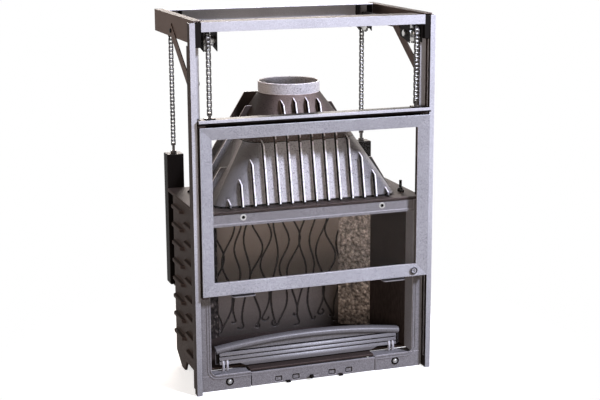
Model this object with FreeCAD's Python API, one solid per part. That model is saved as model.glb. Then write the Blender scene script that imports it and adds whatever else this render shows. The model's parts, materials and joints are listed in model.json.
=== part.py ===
import FreeCAD, Part
import math
import os

# Fireplace insert with a rising glazed door, in millimetres, +Z up.
# X runs left to right, Y from the front to the back.
# Everything is drawn with Y = 0 on the uprights' front face, and shifted at the end so that
# the origin is the middle of the footprint.

Vector = FreeCAD.Vector

# Clearances
flat_gap = 0.3
running_gap = 0.05
bolt_gap = 0.2
slide_gap = 0.4
overcut = 1.0
edge_tolerance = 0.5

# Frame: folded steel uprights and the tray on top of them
frame_half_width = 420.0
upright_height = 1226.0
steel = 3.0
upright_face = 18.0
outer_return = 30.0
web_depth = 41.0
rear_flange = 20.0
back_return = 25.0
guide_slot_width = 10.0
guide_slot_bottom = 40.0
guide_slot_margin = 9.0
tray_rise = 7.0
tray_height = 74.0
tray_flange = 30.0
tray_rear_margin = 10.0
beam_rise = 2.0
beam_height = 31.0
beam_flange = 72.0
stop_height = 78.0
stop_front = 4.0
brace_width = 34.0
brace_thickness = 4.0
brace_reach = 216.5
brace_top_margin = 21.0
brace_fall = 150.0
brace_bolt_radius = 4.0
brace_bolt_head = 4.0
brace_head_radius = 7.0

# Lift chain and sprockets
chain_pitch = 12.7
sprocket_teeth = 16
chain_inset = 25.0
chain_back_margin = 13.0
sprocket_drop = 68.0
top_run_pitches = 33
roller_radius = 4.25
link_inner_width = 7.8
plate_thickness = 1.6
inner_plate_radius = 5.9
outer_plate_radius = 5.2
chain_pin_radius = 2.2
pin_overhang = 0.9
link_gap = 0.2
sprocket_thickness = 7.0
tooth_height = 2.2
tooth_relief = 1.1
tooth_relief_out = 3.5
hub_radius = 16.0
axle_radius = 6.0
axle_head_radius = 10.0
axle_head = 6.0
bracket_inner_reach = 29.0
bracket_side_gap = 1.0
front_bracket_half_depth = 38.0
rear_bracket_half_depth = 22.0
bracket_front_drop = 30.0
bracket_back_drop = 12.0

# Counterweights
weight_width = 60.0
weight_depth = 50.0
weight_bottom = 250.0
weight_height = 476.0
weight_edge = 8.0
rod_radius = 6.0
rod_tail = 17.0
nut_flats = 19.0
nut_height = 10.0
tongue_thickness = 7.0
tongue_width = 14.0
tongue_over_pin = 5.0
weight_pin_clear = 16.0

# Glazed door
door_bottom = 342.0
door_height = 555.0
door_border = 41.0
door_depth = 18.0
door_side_gap = 2.0
door_back_gap = 4.0
door_rim = 3.0
door_slope = 8.0
glass_thickness = 5.0
glass_overlap = 9.0
gasket_thickness = 2.0
clip_width = 30.0
clip_height = 16.0
clip_thickness = 1.5
clip_bite = 6.0
clip_seat = 10.0
clip_side_reach = 170.0
hinge_inset = 8.0
hinge_depth = 8.0
hinge_pin_radius = 4.0
hinge_pin_bite = 20.0
lug_thickness = 5.0
lug_gap = 1.0
lug_width = 22.0
tab_inset = 133.0
tab_width = 80.0
tab_reach = 24.0
tab_thickness = 4.0
tab_foot = 14.0
tab_corner = 10.0
lock_inset = 53.0
lock_radius = 9.0
lock_head = 5.0
lock_head_radius = 12.0
cam_length = 27.0
cam_width = 12.0
cam_thickness = 4.0
cam_play = 0.6

# Door carriage
carriage_front = 6.0
carriage_depth = 20.0
carriage_side_gap = 2.0
stile_width = 24.0
tube_wall = 3.0
rail_gap = 9.0
rail_height = 15.0
rail_skirt = 26.0
low_rail_rise = 4.0
low_rail_height = 30.0
low_rail_depth = 10.0
keeper_reach = 20.0
keeper_height = 24.0
shoe_height = 60.0
shoe_inset = 40.0
shoe_head_depth = 16.0
shoe_head_thickness = 6.0
anchor_length = 34.0
anchor_width = 22.0
anchor_base = 4.0
anchor_pin_clear = 8.0

# Fixed front of the firebox
front_gap = 3.0
front_side_gap = 8.0
stile_face = 32.0
lintel_bottom = 561.0
lintel_height = 40.0
lintel_lip = 5.0
lintel_return = 26.0
lintel_screw_inset = 117.0
lintel_screw_drop = 13.0
screw_radius = 3.0
screw_head_radius = 6.0
screw_head = 2.5
screw_socket = 2.0
screw_head_taper = 1.0
reveal_thickness = 6.0
reveal_depth = 55.0
apron_height = 50.0
apron_lip = 5.0
apron_lip_width = 7.0
block_wall = 8.0
block_width = 168.0
apron_bolt_inset = 74.0
apron_bolt_drop = 22.0
apron_bolt_radius = 9.0
apron_bolt_dome = 6.0

# Ash drawer and air register
drawer_side_gap = 2.0
drawer_bottom = 2.0
window_centres = (-127.5, -65.5, 65.5, 127.5)
window_width = 26.0
window_height = 18.0
window_bottom = 8.0
window_skin = 2.5
slot_height = 5.0
slot_z = 14.0
knob_x = -14.0
knob_stand = 13.0
knob_radius = 8.0
knob_stem_radius = 2.3
register_travel = 28.0
register_thickness = 2.0
register_end = 22.5
register_bottom = 5.0
register_height = 30.0
register_hole = 24.0
pull_x = 95.0
pull_width = 16.0
pull_reach = 12.0
pull_thickness = 5.0
pan_side_gap = 19.0
pan_front_gap = 8.0
pan_length = 284.0
pan_bottom = 6.0
pan_height = 38.0
pan_wall = 2.0
runner_width = 36.0

# Firebox
side_wall = 10.0
wall_bottom = 40.0
back_y = 430.0
back_cant_width = 99.0
back_cant_depth = 58.0
back_wall_thickness = 8.0
fin_reach = 14.0
fin_thickness = 12.0
fin_pitch = 64.0
fin_first = 86.0
fin_rows = 8
fin_columns = ((70.0, 205.0), (222.0, 356.0))
foot_back_y = 366.0
foot_tip_back_y = 300.0
foot_tip_front_y = 262.0
foot_front_y = 235.0
hearth_thickness = 8.0
hearth_back_gap = 6.0
lining_thickness = 10.0
lining_drop = 1.0
lining_taper = 32.0
corner_panel_width = 100.0
corner_panel_depth = 63.0
fireback_gap = 12.0
baffle_thickness = 8.0
baffle_front = 150.0
baffle_inset = 36.0
grate_half_width = 130.0
grate_front = 150.0
grate_back = 330.0
grate_thickness = 14.0
grate_slot = 10.0
grate_slots = 9
grate_rim = 16.0
grate_ledge = 5.0
top_plate_thickness = 9.0
top_plate_overhang = 24.0
hood_hole_margin = 14.0

# Smoke hood and flue collar
hood_inset = 40.0
hood_front = 75.0
hood_corner = 40.0
hood_wall = 8.0
hood_height = 348.0
flue_y = 280.0
flue_bore_radius = 101.0
collar_wall = 5.0
collar_height = 37.0
rib_pitch = 43.0
rib_width = 5.0
rib_stand = 23.0
rib_first_height = 16.0
rib_step = 61.0
rib_end_slope = 12.0
kink_lean = 48.0
kink_rise = 216.0
rib_top_drop = 8.0
side_rib_pitch = 86.0
side_rib_first = 115.0
side_rib_rise = 2.2
rib_root = 60.0
flue_flat_angle = 10.0
clamp_reach = 30.0
clamp_y = 120.0
clamp_bolt_radius = 5.0
clamp_bolt_height = 40.0
clamp_plate = 6.0
clamp_plate_half = 10.0
clamp_nut_flats = 17.0
clamp_nut_height = 8.0

# Log fender
fender_end_gap = 28.0
fender_front = 70.0
fender_depth = 16.0
fender_rise = 59.0
fender_crown = 25.0
fender_band = 25.0
fender_band_depth = 26.0
fender_bars = 3
fender_bar_height = 9.0
fender_bar_pitch = 15.0
fender_web = 6.0
fender_lip_inset = 104.0
fender_lip_chamfer = 26.0
fork_height = 24.0
fork_inset = 32.0
fork_prong = 7.0
fork_gap = 8.0

# Values worked out from the sizes above: frame
web_inner_x = frame_half_width - upright_face
web_outer_x = web_inner_x + steel
flange_inner_x = web_inner_x - rear_flange
flange_front_y = web_depth - steel
tray_top = upright_height + tray_rise
tray_bottom = tray_top - tray_height
beam_top = upright_height + beam_rise
beam_bottom = beam_top - beam_height
guide_slot_top = tray_bottom - guide_slot_margin
brace_low_y = web_depth + back_return / 2.0
brace_top_y = brace_low_y + brace_reach
brace_top_z = tray_bottom + brace_top_margin
brace_low_z = brace_top_z - brace_fall
inside_brace_x = flange_inner_x + steel
outside_brace_x = web_outer_x + steel

# Door and carriage
carriage_back = carriage_front + carriage_depth
carriage_half_width = web_inner_x - carriage_side_gap
guide_middle_y = (carriage_front + carriage_back) / 2.0
guide_slot_front = guide_middle_y - guide_slot_width / 2.0
door_half_width = carriage_half_width - door_side_gap
door_back = carriage_front - door_back_gap
door_front = door_back - door_depth
door_top = door_bottom + door_height
hinge_x = hinge_inset - door_half_width
hinge_y = door_front + hinge_depth
lock_x = door_half_width - lock_inset
lock_z = door_bottom + door_border / 2.0
tab_x = door_half_width - tab_inset
rail_bottom = door_top + rail_gap
rail_top = rail_bottom + rail_height
low_rail_bottom = door_bottom + low_rail_rise

# Chain and counterweights
chain_x = flange_inner_x - chain_inset
chain_front_y = carriage_back - chain_back_margin
bracket_outer_reach = chain_inset - axle_head - bracket_side_gap
sprocket_z = tray_top - sprocket_drop
sprocket_radius = chain_pitch / (2.0 * math.sin(math.pi / sprocket_teeth))
quarter_turn = sprocket_teeth // 4
front_sprocket_y = chain_front_y + sprocket_radius
rear_sprocket_y = front_sprocket_y + top_run_pitches * chain_pitch
chain_rear_y = rear_sprocket_y + sprocket_radius
tray_back = chain_rear_y + inner_plate_radius + tray_rear_margin
weight_top = weight_bottom + weight_height
door_pin_lowest = rail_top + anchor_base + anchor_pin_clear
weight_pin_lowest = weight_top + nut_height + weight_pin_clear
front_strand_pitches = int((sprocket_z - door_pin_lowest) / chain_pitch)
rear_room_pitches = int((sprocket_z - weight_pin_lowest) / chain_pitch)
fixed_pitches = front_strand_pitches + top_run_pitches + 2 * quarter_turn
rear_strand_pitches = rear_room_pitches - (fixed_pitches + rear_room_pitches + 1) % 2
door_anchor_z = sprocket_z - front_strand_pitches * chain_pitch
weight_anchor_z = sprocket_z - rear_strand_pitches * chain_pitch

# Fixed front, ash drawer and firebox
front_y = carriage_back + front_gap
front_back_y = flange_front_y
front_half_width = web_inner_x - front_side_gap
opening_half_width = front_half_width - stile_face
lintel_top = lintel_bottom + lintel_height
lintel_screw_x = opening_half_width - lintel_screw_inset
lintel_screw_z = lintel_top - lintel_screw_drop
reveal_back = front_back_y + reveal_depth
block_inner_x = front_half_width - block_width
apron_bolt_x = block_inner_x + apron_bolt_inset
apron_bolt_z = apron_height - apron_bolt_drop
drawer_half_width = block_inner_x - drawer_side_gap
register_half_length = max(window_centres) + register_end
register_y = front_y + window_skin + flat_gap
knob_y = front_y - knob_stand
pan_half_width = drawer_half_width - pan_side_gap
pan_front = front_back_y + pan_front_gap
pan_back = pan_front + pan_length
side_inner_x = flange_inner_x + steel
side_outer_x = side_inner_x + side_wall
side_back = back_y - back_cant_depth
back_half_width = side_outer_x - back_cant_width
hearth_top = apron_height + hearth_thickness
hearth_back = back_y - back_wall_thickness - hearth_back_gap
lining_top = lintel_bottom - lining_drop
lining_back_x = opening_half_width - lining_taper
fireback_half_width = lining_back_x - corner_panel_width
fireback_y = back_y - back_wall_thickness - fireback_gap - lining_thickness
lining_back_y = fireback_y - corner_panel_depth
baffle_half_width = opening_half_width - baffle_inset
top_plate_back = back_y + top_plate_overhang

# Hood and fender
hood_base = lintel_top + top_plate_thickness
hood_half_width = opening_half_width - hood_inset
hood_back = back_y
collar_radius = flue_bore_radius + collar_wall
collar_bottom = hood_base + hood_height
kink_z = hood_base + kink_rise
kink_share = kink_rise / hood_height
front_ribs_each_side = int((hood_half_width - rib_width / 2.0) / rib_pitch)
side_ribs_front = int((flue_y - hood_front - rib_width / 2.0) / side_rib_pitch)
side_ribs_back = int((hood_back - flue_y - rib_width / 2.0) / side_rib_pitch)
clamp_x = hood_half_width + clamp_reach
fender_half_length = opening_half_width - fender_end_gap
fender_bar_low = apron_height + fork_height
fender_end_top = fender_bar_low + fender_rise
fender_lip_half = fender_half_length - fender_lip_inset
fork_x = fender_half_length - fork_inset

# The footprint's middle becomes the origin
footprint_front = door_front - tab_reach
footprint_back = chain_rear_y + weight_depth / 2.0
depth_shift = (footprint_front + footprint_back) / 2.0


def box(x0, x1, y0, y1, z0, z1):
    return Part.makeBox(x1 - x0, y1 - y0, z1 - z0, Vector(x0, y0, z0))


def polygon_face(points):
    return Part.Face(Part.makePolygon(points + points[:1]))


def prism_xy(points, z0, z1):
    face = polygon_face([Vector(x, y, z0) for x, y in points])
    return face.extrude(Vector(0, 0, z1 - z0))


def prism_yz(points, x0, x1):
    face = polygon_face([Vector(x0, y, z) for y, z in points])
    return face.extrude(Vector(x1 - x0, 0, 0))


def prism_xz(points, y0, y1):
    face = polygon_face([Vector(x, y0, z) for x, z in points])
    return face.extrude(Vector(0, y1 - y0, 0))


def rod_x(x0, x1, y, z, radius):
    return Part.makeCylinder(radius, x1 - x0, Vector(x0, y, z), Vector(1, 0, 0))


def rod_y(x, y0, y1, z, radius):
    return Part.makeCylinder(radius, y1 - y0, Vector(x, y0, z), Vector(0, 1, 0))


def rod_z(x, y, z0, z1, radius):
    return Part.makeCylinder(radius, z1 - z0, Vector(x, y, z0), Vector(0, 0, 1))


def hexagon_z(x, y, z0, z1, flats):
    radius = flats / math.sqrt(3.0)
    corners = []
    for i in range(6):
        angle = math.radians(60.0 * i)
        corners.append((x + radius * math.cos(angle), y + radius * math.sin(angle)))
    return prism_xy(corners, z0, z1)


def mirrored(shape):
    return shape.mirror(Vector(0, 0, 0), Vector(1, 0, 0))


def joined(shapes):
    return shapes[0].multiFuse(shapes[1:]).removeSplitter()


def both_sides(shape):
    return Part.makeCompound([shape, mirrored(shape)])


def ring_xz(half_out, low_out, high_out, half_in, low_in, high_in, y0, y1):
    outer = box(-half_out, half_out, y0, y1, low_out, high_out)
    return outer.cut(box(-half_in, half_in, y0, y1, low_in, high_in))


def write(name, shape):
    moved = shape.copy()
    moved.translate(Vector(0, -depth_shift, 0))
    moved.exportStep("parts/" + name + ".step")


# Frame

def right_upright():
    profile = [
        (frame_half_width, outer_return),
        (frame_half_width, 0),
        (web_inner_x, 0),
        (web_inner_x, flange_front_y),
        (flange_inner_x, flange_front_y),
        (flange_inner_x, web_depth + back_return),
        (flange_inner_x + steel, web_depth + back_return),
        (flange_inner_x + steel, web_depth),
        (web_outer_x, web_depth),
        (web_outer_x, steel),
        (frame_half_width - steel, steel),
        (frame_half_width - steel, outer_return),
    ]
    upright = prism_xy(profile, 0, upright_height)
    slot = box(web_inner_x - overcut, web_outer_x + overcut, guide_slot_front,
               guide_slot_front + guide_slot_width, guide_slot_bottom, guide_slot_top)
    hole = rod_x(flange_inner_x - overcut, flange_inner_x + steel + overcut, brace_low_y, brace_low_z,
                 brace_bolt_radius + bolt_gap)
    return upright.cut(slot).cut(hole)


def right_side_channel():
    inner_x = web_outer_x
    outer_x = inner_x + steel
    web = box(inner_x, outer_x, stop_front, tray_back, tray_bottom, tray_top)
    flange = box(outer_x - tray_flange, inner_x, stop_front, tray_back, tray_top - steel, tray_top)
    hole = rod_x(inner_x - overcut, outer_x + overcut, brace_top_y, brace_top_z,
                 brace_bolt_radius + bolt_gap)
    return joined([web, flange]).cut(hole)


def front_beam():
    face = box(-flange_inner_x, flange_inner_x, 0, steel, beam_bottom, beam_top)
    top = box(-flange_inner_x, flange_inner_x, steel, beam_flange, beam_top - steel, beam_top)
    return joined([face, top])


def rear_beam():
    half = web_outer_x
    flange_half = web_outer_x + steel - tray_flange
    web = box(-half, half, tray_back - steel, tray_back, tray_bottom, tray_top - steel)
    flange = box(-flange_half, flange_half, rear_sprocket_y - rear_bracket_half_depth, tray_back,
                 tray_top - steel, tray_top)
    return joined([web, flange])


def right_door_stop():
    return box(flange_inner_x, web_inner_x, stop_front, flange_front_y,
               upright_height - stop_height, upright_height)


def brace(x0):
    low = Vector(x0, brace_low_y, brace_low_z)
    high = Vector(x0, brace_top_y, brace_top_z)
    along = (high - low).normalize()
    across = Vector(0, -along.z, along.y) * (brace_width / 2.0)
    start = low - along * (brace_width / 2.0)
    end = high + along * (brace_width / 2.0)
    bar = polygon_face([start + across, end + across, end - across, start - across])
    bar = bar.extrude(Vector(brace_thickness, 0, 0))
    cuts = [box(x0 - overcut, x0 + brace_thickness + overcut, -brace_width, web_depth + flat_gap,
                brace_low_z - 2 * brace_width, brace_top_z)]
    for point in (low, high):
        cuts.append(rod_x(x0 - overcut, x0 + brace_thickness + overcut, point.y, point.z,
                          brace_bolt_radius + bolt_gap))
    return bar.cut(cuts)


def brace_bolt(y, z, x0, x1, spacer):
    parts = [
        rod_x(x0 - brace_bolt_head, x1 + brace_bolt_head, y, z, brace_bolt_radius),
        rod_x(x0 - brace_bolt_head, x0, y, z, brace_head_radius),
        rod_x(x1, x1 + brace_bolt_head, y, z, brace_head_radius),
    ]
    if spacer:
        parts.append(rod_x(spacer[0], spacer[1], y, z, brace_head_radius))
    return joined(parts)


def right_brace_bolts():
    far_x = inside_brace_x + brace_thickness
    return [
        brace_bolt(brace_low_y, brace_low_z, flange_inner_x, far_x, None),
        brace_bolt(brace_top_y, brace_top_z, inside_brace_x, outside_brace_x, (far_x, web_outer_x)),
    ]


def left_brace_bolts():
    far_x = outside_brace_x + brace_thickness
    bolts = [
        brace_bolt(brace_low_y, brace_low_z, flange_inner_x, far_x, (inside_brace_x, outside_brace_x)),
        brace_bolt(brace_top_y, brace_top_z, web_outer_x, far_x, None),
    ]
    return [mirrored(bolt) for bolt in bolts]


# Sprockets, their brackets and axles

def sprocket(y):
    x0 = chain_x - sprocket_thickness / 2.0
    disc = rod_x(x0, x0 + sprocket_thickness, y, sprocket_z, sprocket_radius + tooth_height)
    cuts = []
    for tooth in range(sprocket_teeth):
        angle = 2.0 * math.pi * tooth / sprocket_teeth
        for reach, radius in (
            (sprocket_radius, roller_radius + link_gap),
            (sprocket_radius + tooth_relief_out, roller_radius + link_gap + tooth_relief),
        ):
            cut_y = y + reach * math.cos(angle)
            cut_z = sprocket_z + reach * math.sin(angle)
            cuts.append(rod_x(x0 - overcut, x0 + sprocket_thickness + overcut, cut_y, cut_z, radius))
    disc = disc.cut(cuts)
    hub = rod_x(chain_x - bracket_inner_reach + steel + flat_gap,
                chain_x + bracket_outer_reach - steel - flat_gap, y, sprocket_z, hub_radius)
    bore = rod_x(chain_x - 2 * bracket_inner_reach, chain_x + 2 * bracket_outer_reach, y, sprocket_z,
                 axle_radius + running_gap)
    return joined([disc, hub]).cut(bore)


def sprocket_bracket(y, top_z, half_depth):
    inner_x = chain_x - bracket_inner_reach
    outer_x = chain_x + bracket_outer_reach
    y0 = y - half_depth
    y1 = y + half_depth
    cheek = [
        (y0, sprocket_z - bracket_front_drop),
        (y1, sprocket_z - bracket_back_drop),
        (y1, top_z - steel),
        (y0, top_z - steel),
    ]
    plates = [
        box(inner_x, outer_x, y0, y1, top_z - steel, top_z),
        prism_yz(cheek, inner_x, inner_x + steel),
        prism_yz(cheek, outer_x - steel, outer_x),
    ]
    bore = rod_x(inner_x - overcut, outer_x + overcut, y, sprocket_z, axle_radius + bolt_gap)
    return joined(plates).cut(bore)


def sprocket_axle(y):
    inner_x = chain_x - bracket_inner_reach
    outer_x = chain_x + bracket_outer_reach
    return joined([
        rod_x(inner_x - axle_head, outer_x + axle_head, y, sprocket_z, axle_radius),
        rod_x(inner_x - axle_head, inner_x, y, sprocket_z, axle_head_radius),
        rod_x(outer_x, outer_x + axle_head, y, sprocket_z, axle_head_radius),
    ])


# Roller chain

def stadium_plate(length, radius, x0, thickness):
    bar = box(x0, x0 + thickness, 0, length, -radius, radius)
    ends = [rod_x(x0, x0 + thickness, 0, 0, radius), rod_x(x0, x0 + thickness, length, 0, radius)]
    return joined([bar] + ends)


def inner_link():
    inner = link_inner_width / 2.0
    shapes = []
    for x0 in (inner, -inner - plate_thickness):
        shapes.append(stadium_plate(chain_pitch, inner_plate_radius, x0, plate_thickness))
    for y in (0, chain_pitch):
        shapes.append(rod_x(-inner, inner, y, 0, roller_radius))
    link = joined(shapes)
    width = inner + plate_thickness + overcut
    for y in (0, chain_pitch):
        link = link.cut(rod_x(-width, width, y, 0, chain_pin_radius + link_gap))
    return link


def outer_link():
    inner = link_inner_width / 2.0 + plate_thickness + link_gap
    outer = inner + plate_thickness
    shapes = []
    for x0 in (inner, -outer):
        shapes.append(stadium_plate(chain_pitch, outer_plate_radius, x0, plate_thickness))
    for y in (0, chain_pitch):
        shapes.append(rod_x(-outer - pin_overhang, outer + pin_overhang, y, 0, chain_pin_radius))
    return joined(shapes)


def chain_pins():
    pins = []
    for k in range(front_strand_pitches):
        pins.append((chain_front_y, door_anchor_z + k * chain_pitch))
    for k in range(quarter_turn):
        angle = math.pi - 2.0 * math.pi * k / sprocket_teeth
        pins.append((front_sprocket_y + sprocket_radius * math.cos(angle),
                     sprocket_z + sprocket_radius * math.sin(angle)))
    for k in range(top_run_pitches):
        pins.append((front_sprocket_y + k * chain_pitch, sprocket_z + sprocket_radius))
    for k in range(quarter_turn):
        angle = math.pi / 2.0 - 2.0 * math.pi * k / sprocket_teeth
        pins.append((rear_sprocket_y + sprocket_radius * math.cos(angle),
                     sprocket_z + sprocket_radius * math.sin(angle)))
    for k in range(rear_strand_pitches + 1):
        pins.append((chain_rear_y, sprocket_z - k * chain_pitch))
    return pins


def chain_links():
    kinds = (outer_link(), inner_link())
    pins = chain_pins()
    links = []
    for i in range(len(pins) - 1):
        (y0, z0), (y1, z1) = pins[i], pins[i + 1]
        link = kinds[i % 2].copy()
        turn = math.degrees(math.atan2(z1 - z0, y1 - y0))
        link.rotate(Vector(0, 0, 0), Vector(1, 0, 0), turn)
        link.translate(Vector(chain_x, y0, z0))
        links.append(link)
    return links


def both_strands(links):
    return Part.makeCompound(links + [mirrored(link) for link in links])


# Counterweights

def right_weight():
    x0 = chain_x - weight_width / 2.0
    y0 = chain_rear_y - weight_depth / 2.0
    block = box(x0, x0 + weight_width, y0, y0 + weight_depth, weight_bottom, weight_top)
    low_edges = [edge for edge in block.Edges if edge.BoundBox.ZMax < weight_bottom + edge_tolerance]
    block = block.makeFillet(weight_edge, low_edges)
    bore = rod_z(chain_x, chain_rear_y, weight_bottom - overcut, weight_top + overcut,
                 rod_radius + bolt_gap)
    return block.cut(bore)


def hook_tongue(y, foot_z, pin_z):
    tongue = box(chain_x - tongue_thickness / 2.0, chain_x + tongue_thickness / 2.0,
                 y - tongue_width / 2.0, y + tongue_width / 2.0, foot_z, pin_z + tongue_over_pin)
    return tongue.cut(rod_x(chain_x - tongue_thickness, chain_x + tongue_thickness, y, pin_z,
                            chain_pin_radius + link_gap))


def right_weight_rod():
    shank = rod_z(chain_x, chain_rear_y, weight_bottom - rod_tail, weight_top, rod_radius)
    nut = hexagon_z(chain_x, chain_rear_y, weight_bottom - nut_height, weight_bottom, nut_flats)
    collar = hexagon_z(chain_x, chain_rear_y, weight_top, weight_top + nut_height, nut_flats)
    tongue = hook_tongue(chain_rear_y, weight_top + nut_height, weight_anchor_z)
    return joined([shank, nut, collar, tongue])


# Glazed door

def door_frame():
    low_in = door_bottom + door_border
    high_in = door_top - door_border
    half_in = door_half_width - door_border
    body = ring_xz(door_half_width, door_bottom, door_top, half_in, low_in, high_in, door_front, door_back)
    slope = Part.makeLoft([
        rectangle_wire(door_half_width - door_rim, door_bottom + door_rim, door_top - door_rim, door_front),
        rectangle_wire(half_in, low_in, high_in, door_front + door_slope),
    ], True, True)
    rebate = box(-half_in - glass_overlap, half_in + glass_overlap, glass_seat_y(), door_back,
                 low_in - glass_overlap, high_in + glass_overlap)
    lock_hole = rod_y(lock_x, door_front - overcut, door_back + overcut, lock_z, lock_radius + running_gap)
    pin_holes = [
        rod_z(hinge_x, hinge_y, door_bottom, door_bottom + hinge_pin_bite + lug_gap,
              hinge_pin_radius + running_gap),
        rod_z(hinge_x, hinge_y, door_top - hinge_pin_bite - lug_gap, door_top,
              hinge_pin_radius + running_gap),
    ]
    return body.cut([slope, rebate, lock_hole] + pin_holes)


def rectangle_wire(half, low, high, y):
    corners = [Vector(-half, y, low), Vector(half, y, low), Vector(half, y, high), Vector(-half, y, high)]
    return Part.makePolygon(corners + corners[:1])


def glass_seat_y():
    return door_back - glass_thickness - gasket_thickness


def glass_rectangle():
    half = door_half_width - door_border + glass_overlap - flat_gap
    low = door_bottom + door_border - glass_overlap + flat_gap
    high = door_top - door_border + glass_overlap - flat_gap
    return half, low, high


def glass_pane():
    half, low, high = glass_rectangle()
    return box(-half, half, door_back - glass_thickness, door_back, low, high)


def glass_gasket():
    half, low, high = glass_rectangle()
    half_in = door_half_width - door_border
    return ring_xz(half, low, high, half_in, door_bottom + door_border, door_top - door_border,
                   glass_seat_y(), door_back - glass_thickness)


def glass_clips():
    half, low, high = glass_rectangle()
    clips = []
    for x in (-clip_side_reach, clip_side_reach):
        for inner, outward in ((low, -1), (high, 1)):
            z_in = inner - outward * clip_bite
            z_out = inner + outward * clip_seat
            clips.append(box(x - clip_width / 2.0, x + clip_width / 2.0, door_back,
                             door_back + clip_thickness, min(z_in, z_out), max(z_in, z_out)))
    middle = (low + high) / 2.0
    for side in (-1, 1):
        x_in = side * (half - clip_bite)
        x_out = side * (half + clip_seat)
        clips.append(box(min(x_in, x_out), max(x_in, x_out), door_back, door_back + clip_thickness,
                         middle - clip_height / 2.0, middle + clip_height / 2.0))
    return Part.makeCompound(clips)


def right_lift_tab():
    x0 = tab_x - tab_width / 2.0
    x1 = tab_x + tab_width / 2.0
    foot = box(x0, x1, door_front, door_front + tab_foot, door_bottom - tab_thickness, door_bottom)
    plate = box(x0, x1, door_front - tab_reach, door_front, door_bottom - tab_thickness, door_bottom)
    front_edges = [edge for edge in plate.Edges
                   if edge.BoundBox.YMax < door_front - tab_reach + edge_tolerance
                   and edge.BoundBox.ZLength > edge_tolerance]
    plate = plate.makeFillet(tab_corner, front_edges)
    return joined([foot, plate])


def door_lock():
    cam_front = carriage_front + steel + cam_play
    shank = rod_y(lock_x, door_front - lock_head, door_back, lock_z, lock_radius)
    head = rod_y(lock_x, door_front - lock_head, door_front - flat_gap, lock_z, lock_head_radius)
    spindle = rod_y(lock_x, door_back, cam_front + cam_thickness, lock_z, cam_width / 2.0)
    cam = box(lock_x - cam_width / 2.0, lock_x + cam_width / 2.0, cam_front, cam_front + cam_thickness,
              lock_z - cam_length, lock_z)
    key_slot = box(lock_x - lock_head_radius, lock_x + lock_head_radius,
                   door_front - lock_head, door_front - lock_head + screw_socket,
                   lock_z - screw_socket, lock_z + screw_socket)
    return joined([shank, head, spindle, cam]).cut(key_slot)


# Door carriage

def hinge_lug(z0):
    lug = box(-carriage_half_width, -carriage_half_width + lug_width, door_front, carriage_front,
              z0, z0 + lug_thickness)
    hole = rod_z(hinge_x, hinge_y, z0 - overcut, z0 + lug_thickness + overcut, hinge_pin_radius + bolt_gap)
    return lug.cut(hole)


def lug_levels():
    return door_bottom - lug_gap - lug_thickness, door_top + lug_gap


def stile_tube(x0):
    low = lug_levels()[0]
    x1 = x0 + stile_width
    tube = box(x0, x1, carriage_front, carriage_back, low, rail_bottom)
    hollow = box(x0 + tube_wall, x1 - tube_wall, carriage_front + tube_wall, carriage_back - tube_wall,
                 low - overcut, rail_bottom + overcut)
    return tube.cut(hollow)


def left_stile():
    low, high = lug_levels()
    return joined([stile_tube(-carriage_half_width), hinge_lug(low), hinge_lug(high)])


def right_stile():
    return stile_tube(carriage_half_width - stile_width)


def hinge_pins():
    low, high = lug_levels()
    return Part.makeCompound([
        rod_z(hinge_x, hinge_y, low, door_bottom + hinge_pin_bite, hinge_pin_radius),
        rod_z(hinge_x, hinge_y, door_top - hinge_pin_bite, high + lug_thickness, hinge_pin_radius),
    ])


def carriage_top_rail():
    half = carriage_half_width
    top = box(-half, half, door_front, carriage_back, rail_top - steel, rail_top)
    front = box(-half, half, door_front, door_front + steel, rail_bottom, rail_top - steel)
    rear = box(-half, half, carriage_back - steel, carriage_back, rail_bottom, rail_top - steel)
    inner = half - stile_width
    skirt = box(-inner, inner, carriage_back - steel, carriage_back, rail_bottom - rail_skirt, rail_bottom)
    return joined([top, front, rear, skirt])


def carriage_bottom_rail():
    half = carriage_half_width - stile_width
    y0 = carriage_back - low_rail_depth
    z1 = low_rail_bottom + low_rail_height
    tube = box(-half, half, y0, carriage_back, low_rail_bottom, z1)
    hollow = box(-half - overcut, half + overcut, y0 + tube_wall, carriage_back - tube_wall,
                 low_rail_bottom + tube_wall, z1 - tube_wall)
    return tube.cut(hollow)


def lock_keeper():
    x1 = carriage_half_width - stile_width
    return box(x1 - keeper_reach, x1, carriage_front, carriage_front + steel,
               lock_z - keeper_height / 2.0, lock_z + keeper_height / 2.0)


def right_guide_shoes():
    shoes = []
    neck_y0 = guide_slot_front + slide_gap
    neck_y1 = guide_slot_front + guide_slot_width - slide_gap
    head_x = web_outer_x + slide_gap
    for z0 in (lug_levels()[0] + shoe_inset, rail_bottom - shoe_inset - shoe_height):
        neck = box(carriage_half_width, head_x, neck_y0, neck_y1, z0, z0 + shoe_height)
        head = box(head_x, head_x + shoe_head_thickness, guide_middle_y - shoe_head_depth / 2.0,
                   guide_middle_y + shoe_head_depth / 2.0, z0, z0 + shoe_height)
        shoes.append(joined([neck, head]))
    return shoes


def right_chain_anchor():
    base = box(chain_x - anchor_length / 2.0, chain_x + anchor_length / 2.0,
               chain_front_y - anchor_width / 2.0, chain_front_y + anchor_width / 2.0,
               rail_top, rail_top + anchor_base)
    return joined([base, hook_tongue(chain_front_y, rail_top + anchor_base, door_anchor_z)])


# Fixed front of the firebox

def front_lintel():
    half = opening_half_width
    face = box(-half, half, front_y, front_back_y, lintel_bottom, lintel_top)
    shelf = box(-half, half, front_back_y, front_back_y + lintel_return,
                lintel_bottom, lintel_bottom + lintel_lip)
    holes = [rod_y(side * lintel_screw_x, front_y - overcut, front_back_y + overcut, lintel_screw_z,
                   screw_radius + bolt_gap) for side in (-1, 1)]
    return joined([face, shelf]).cut(holes)


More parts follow.
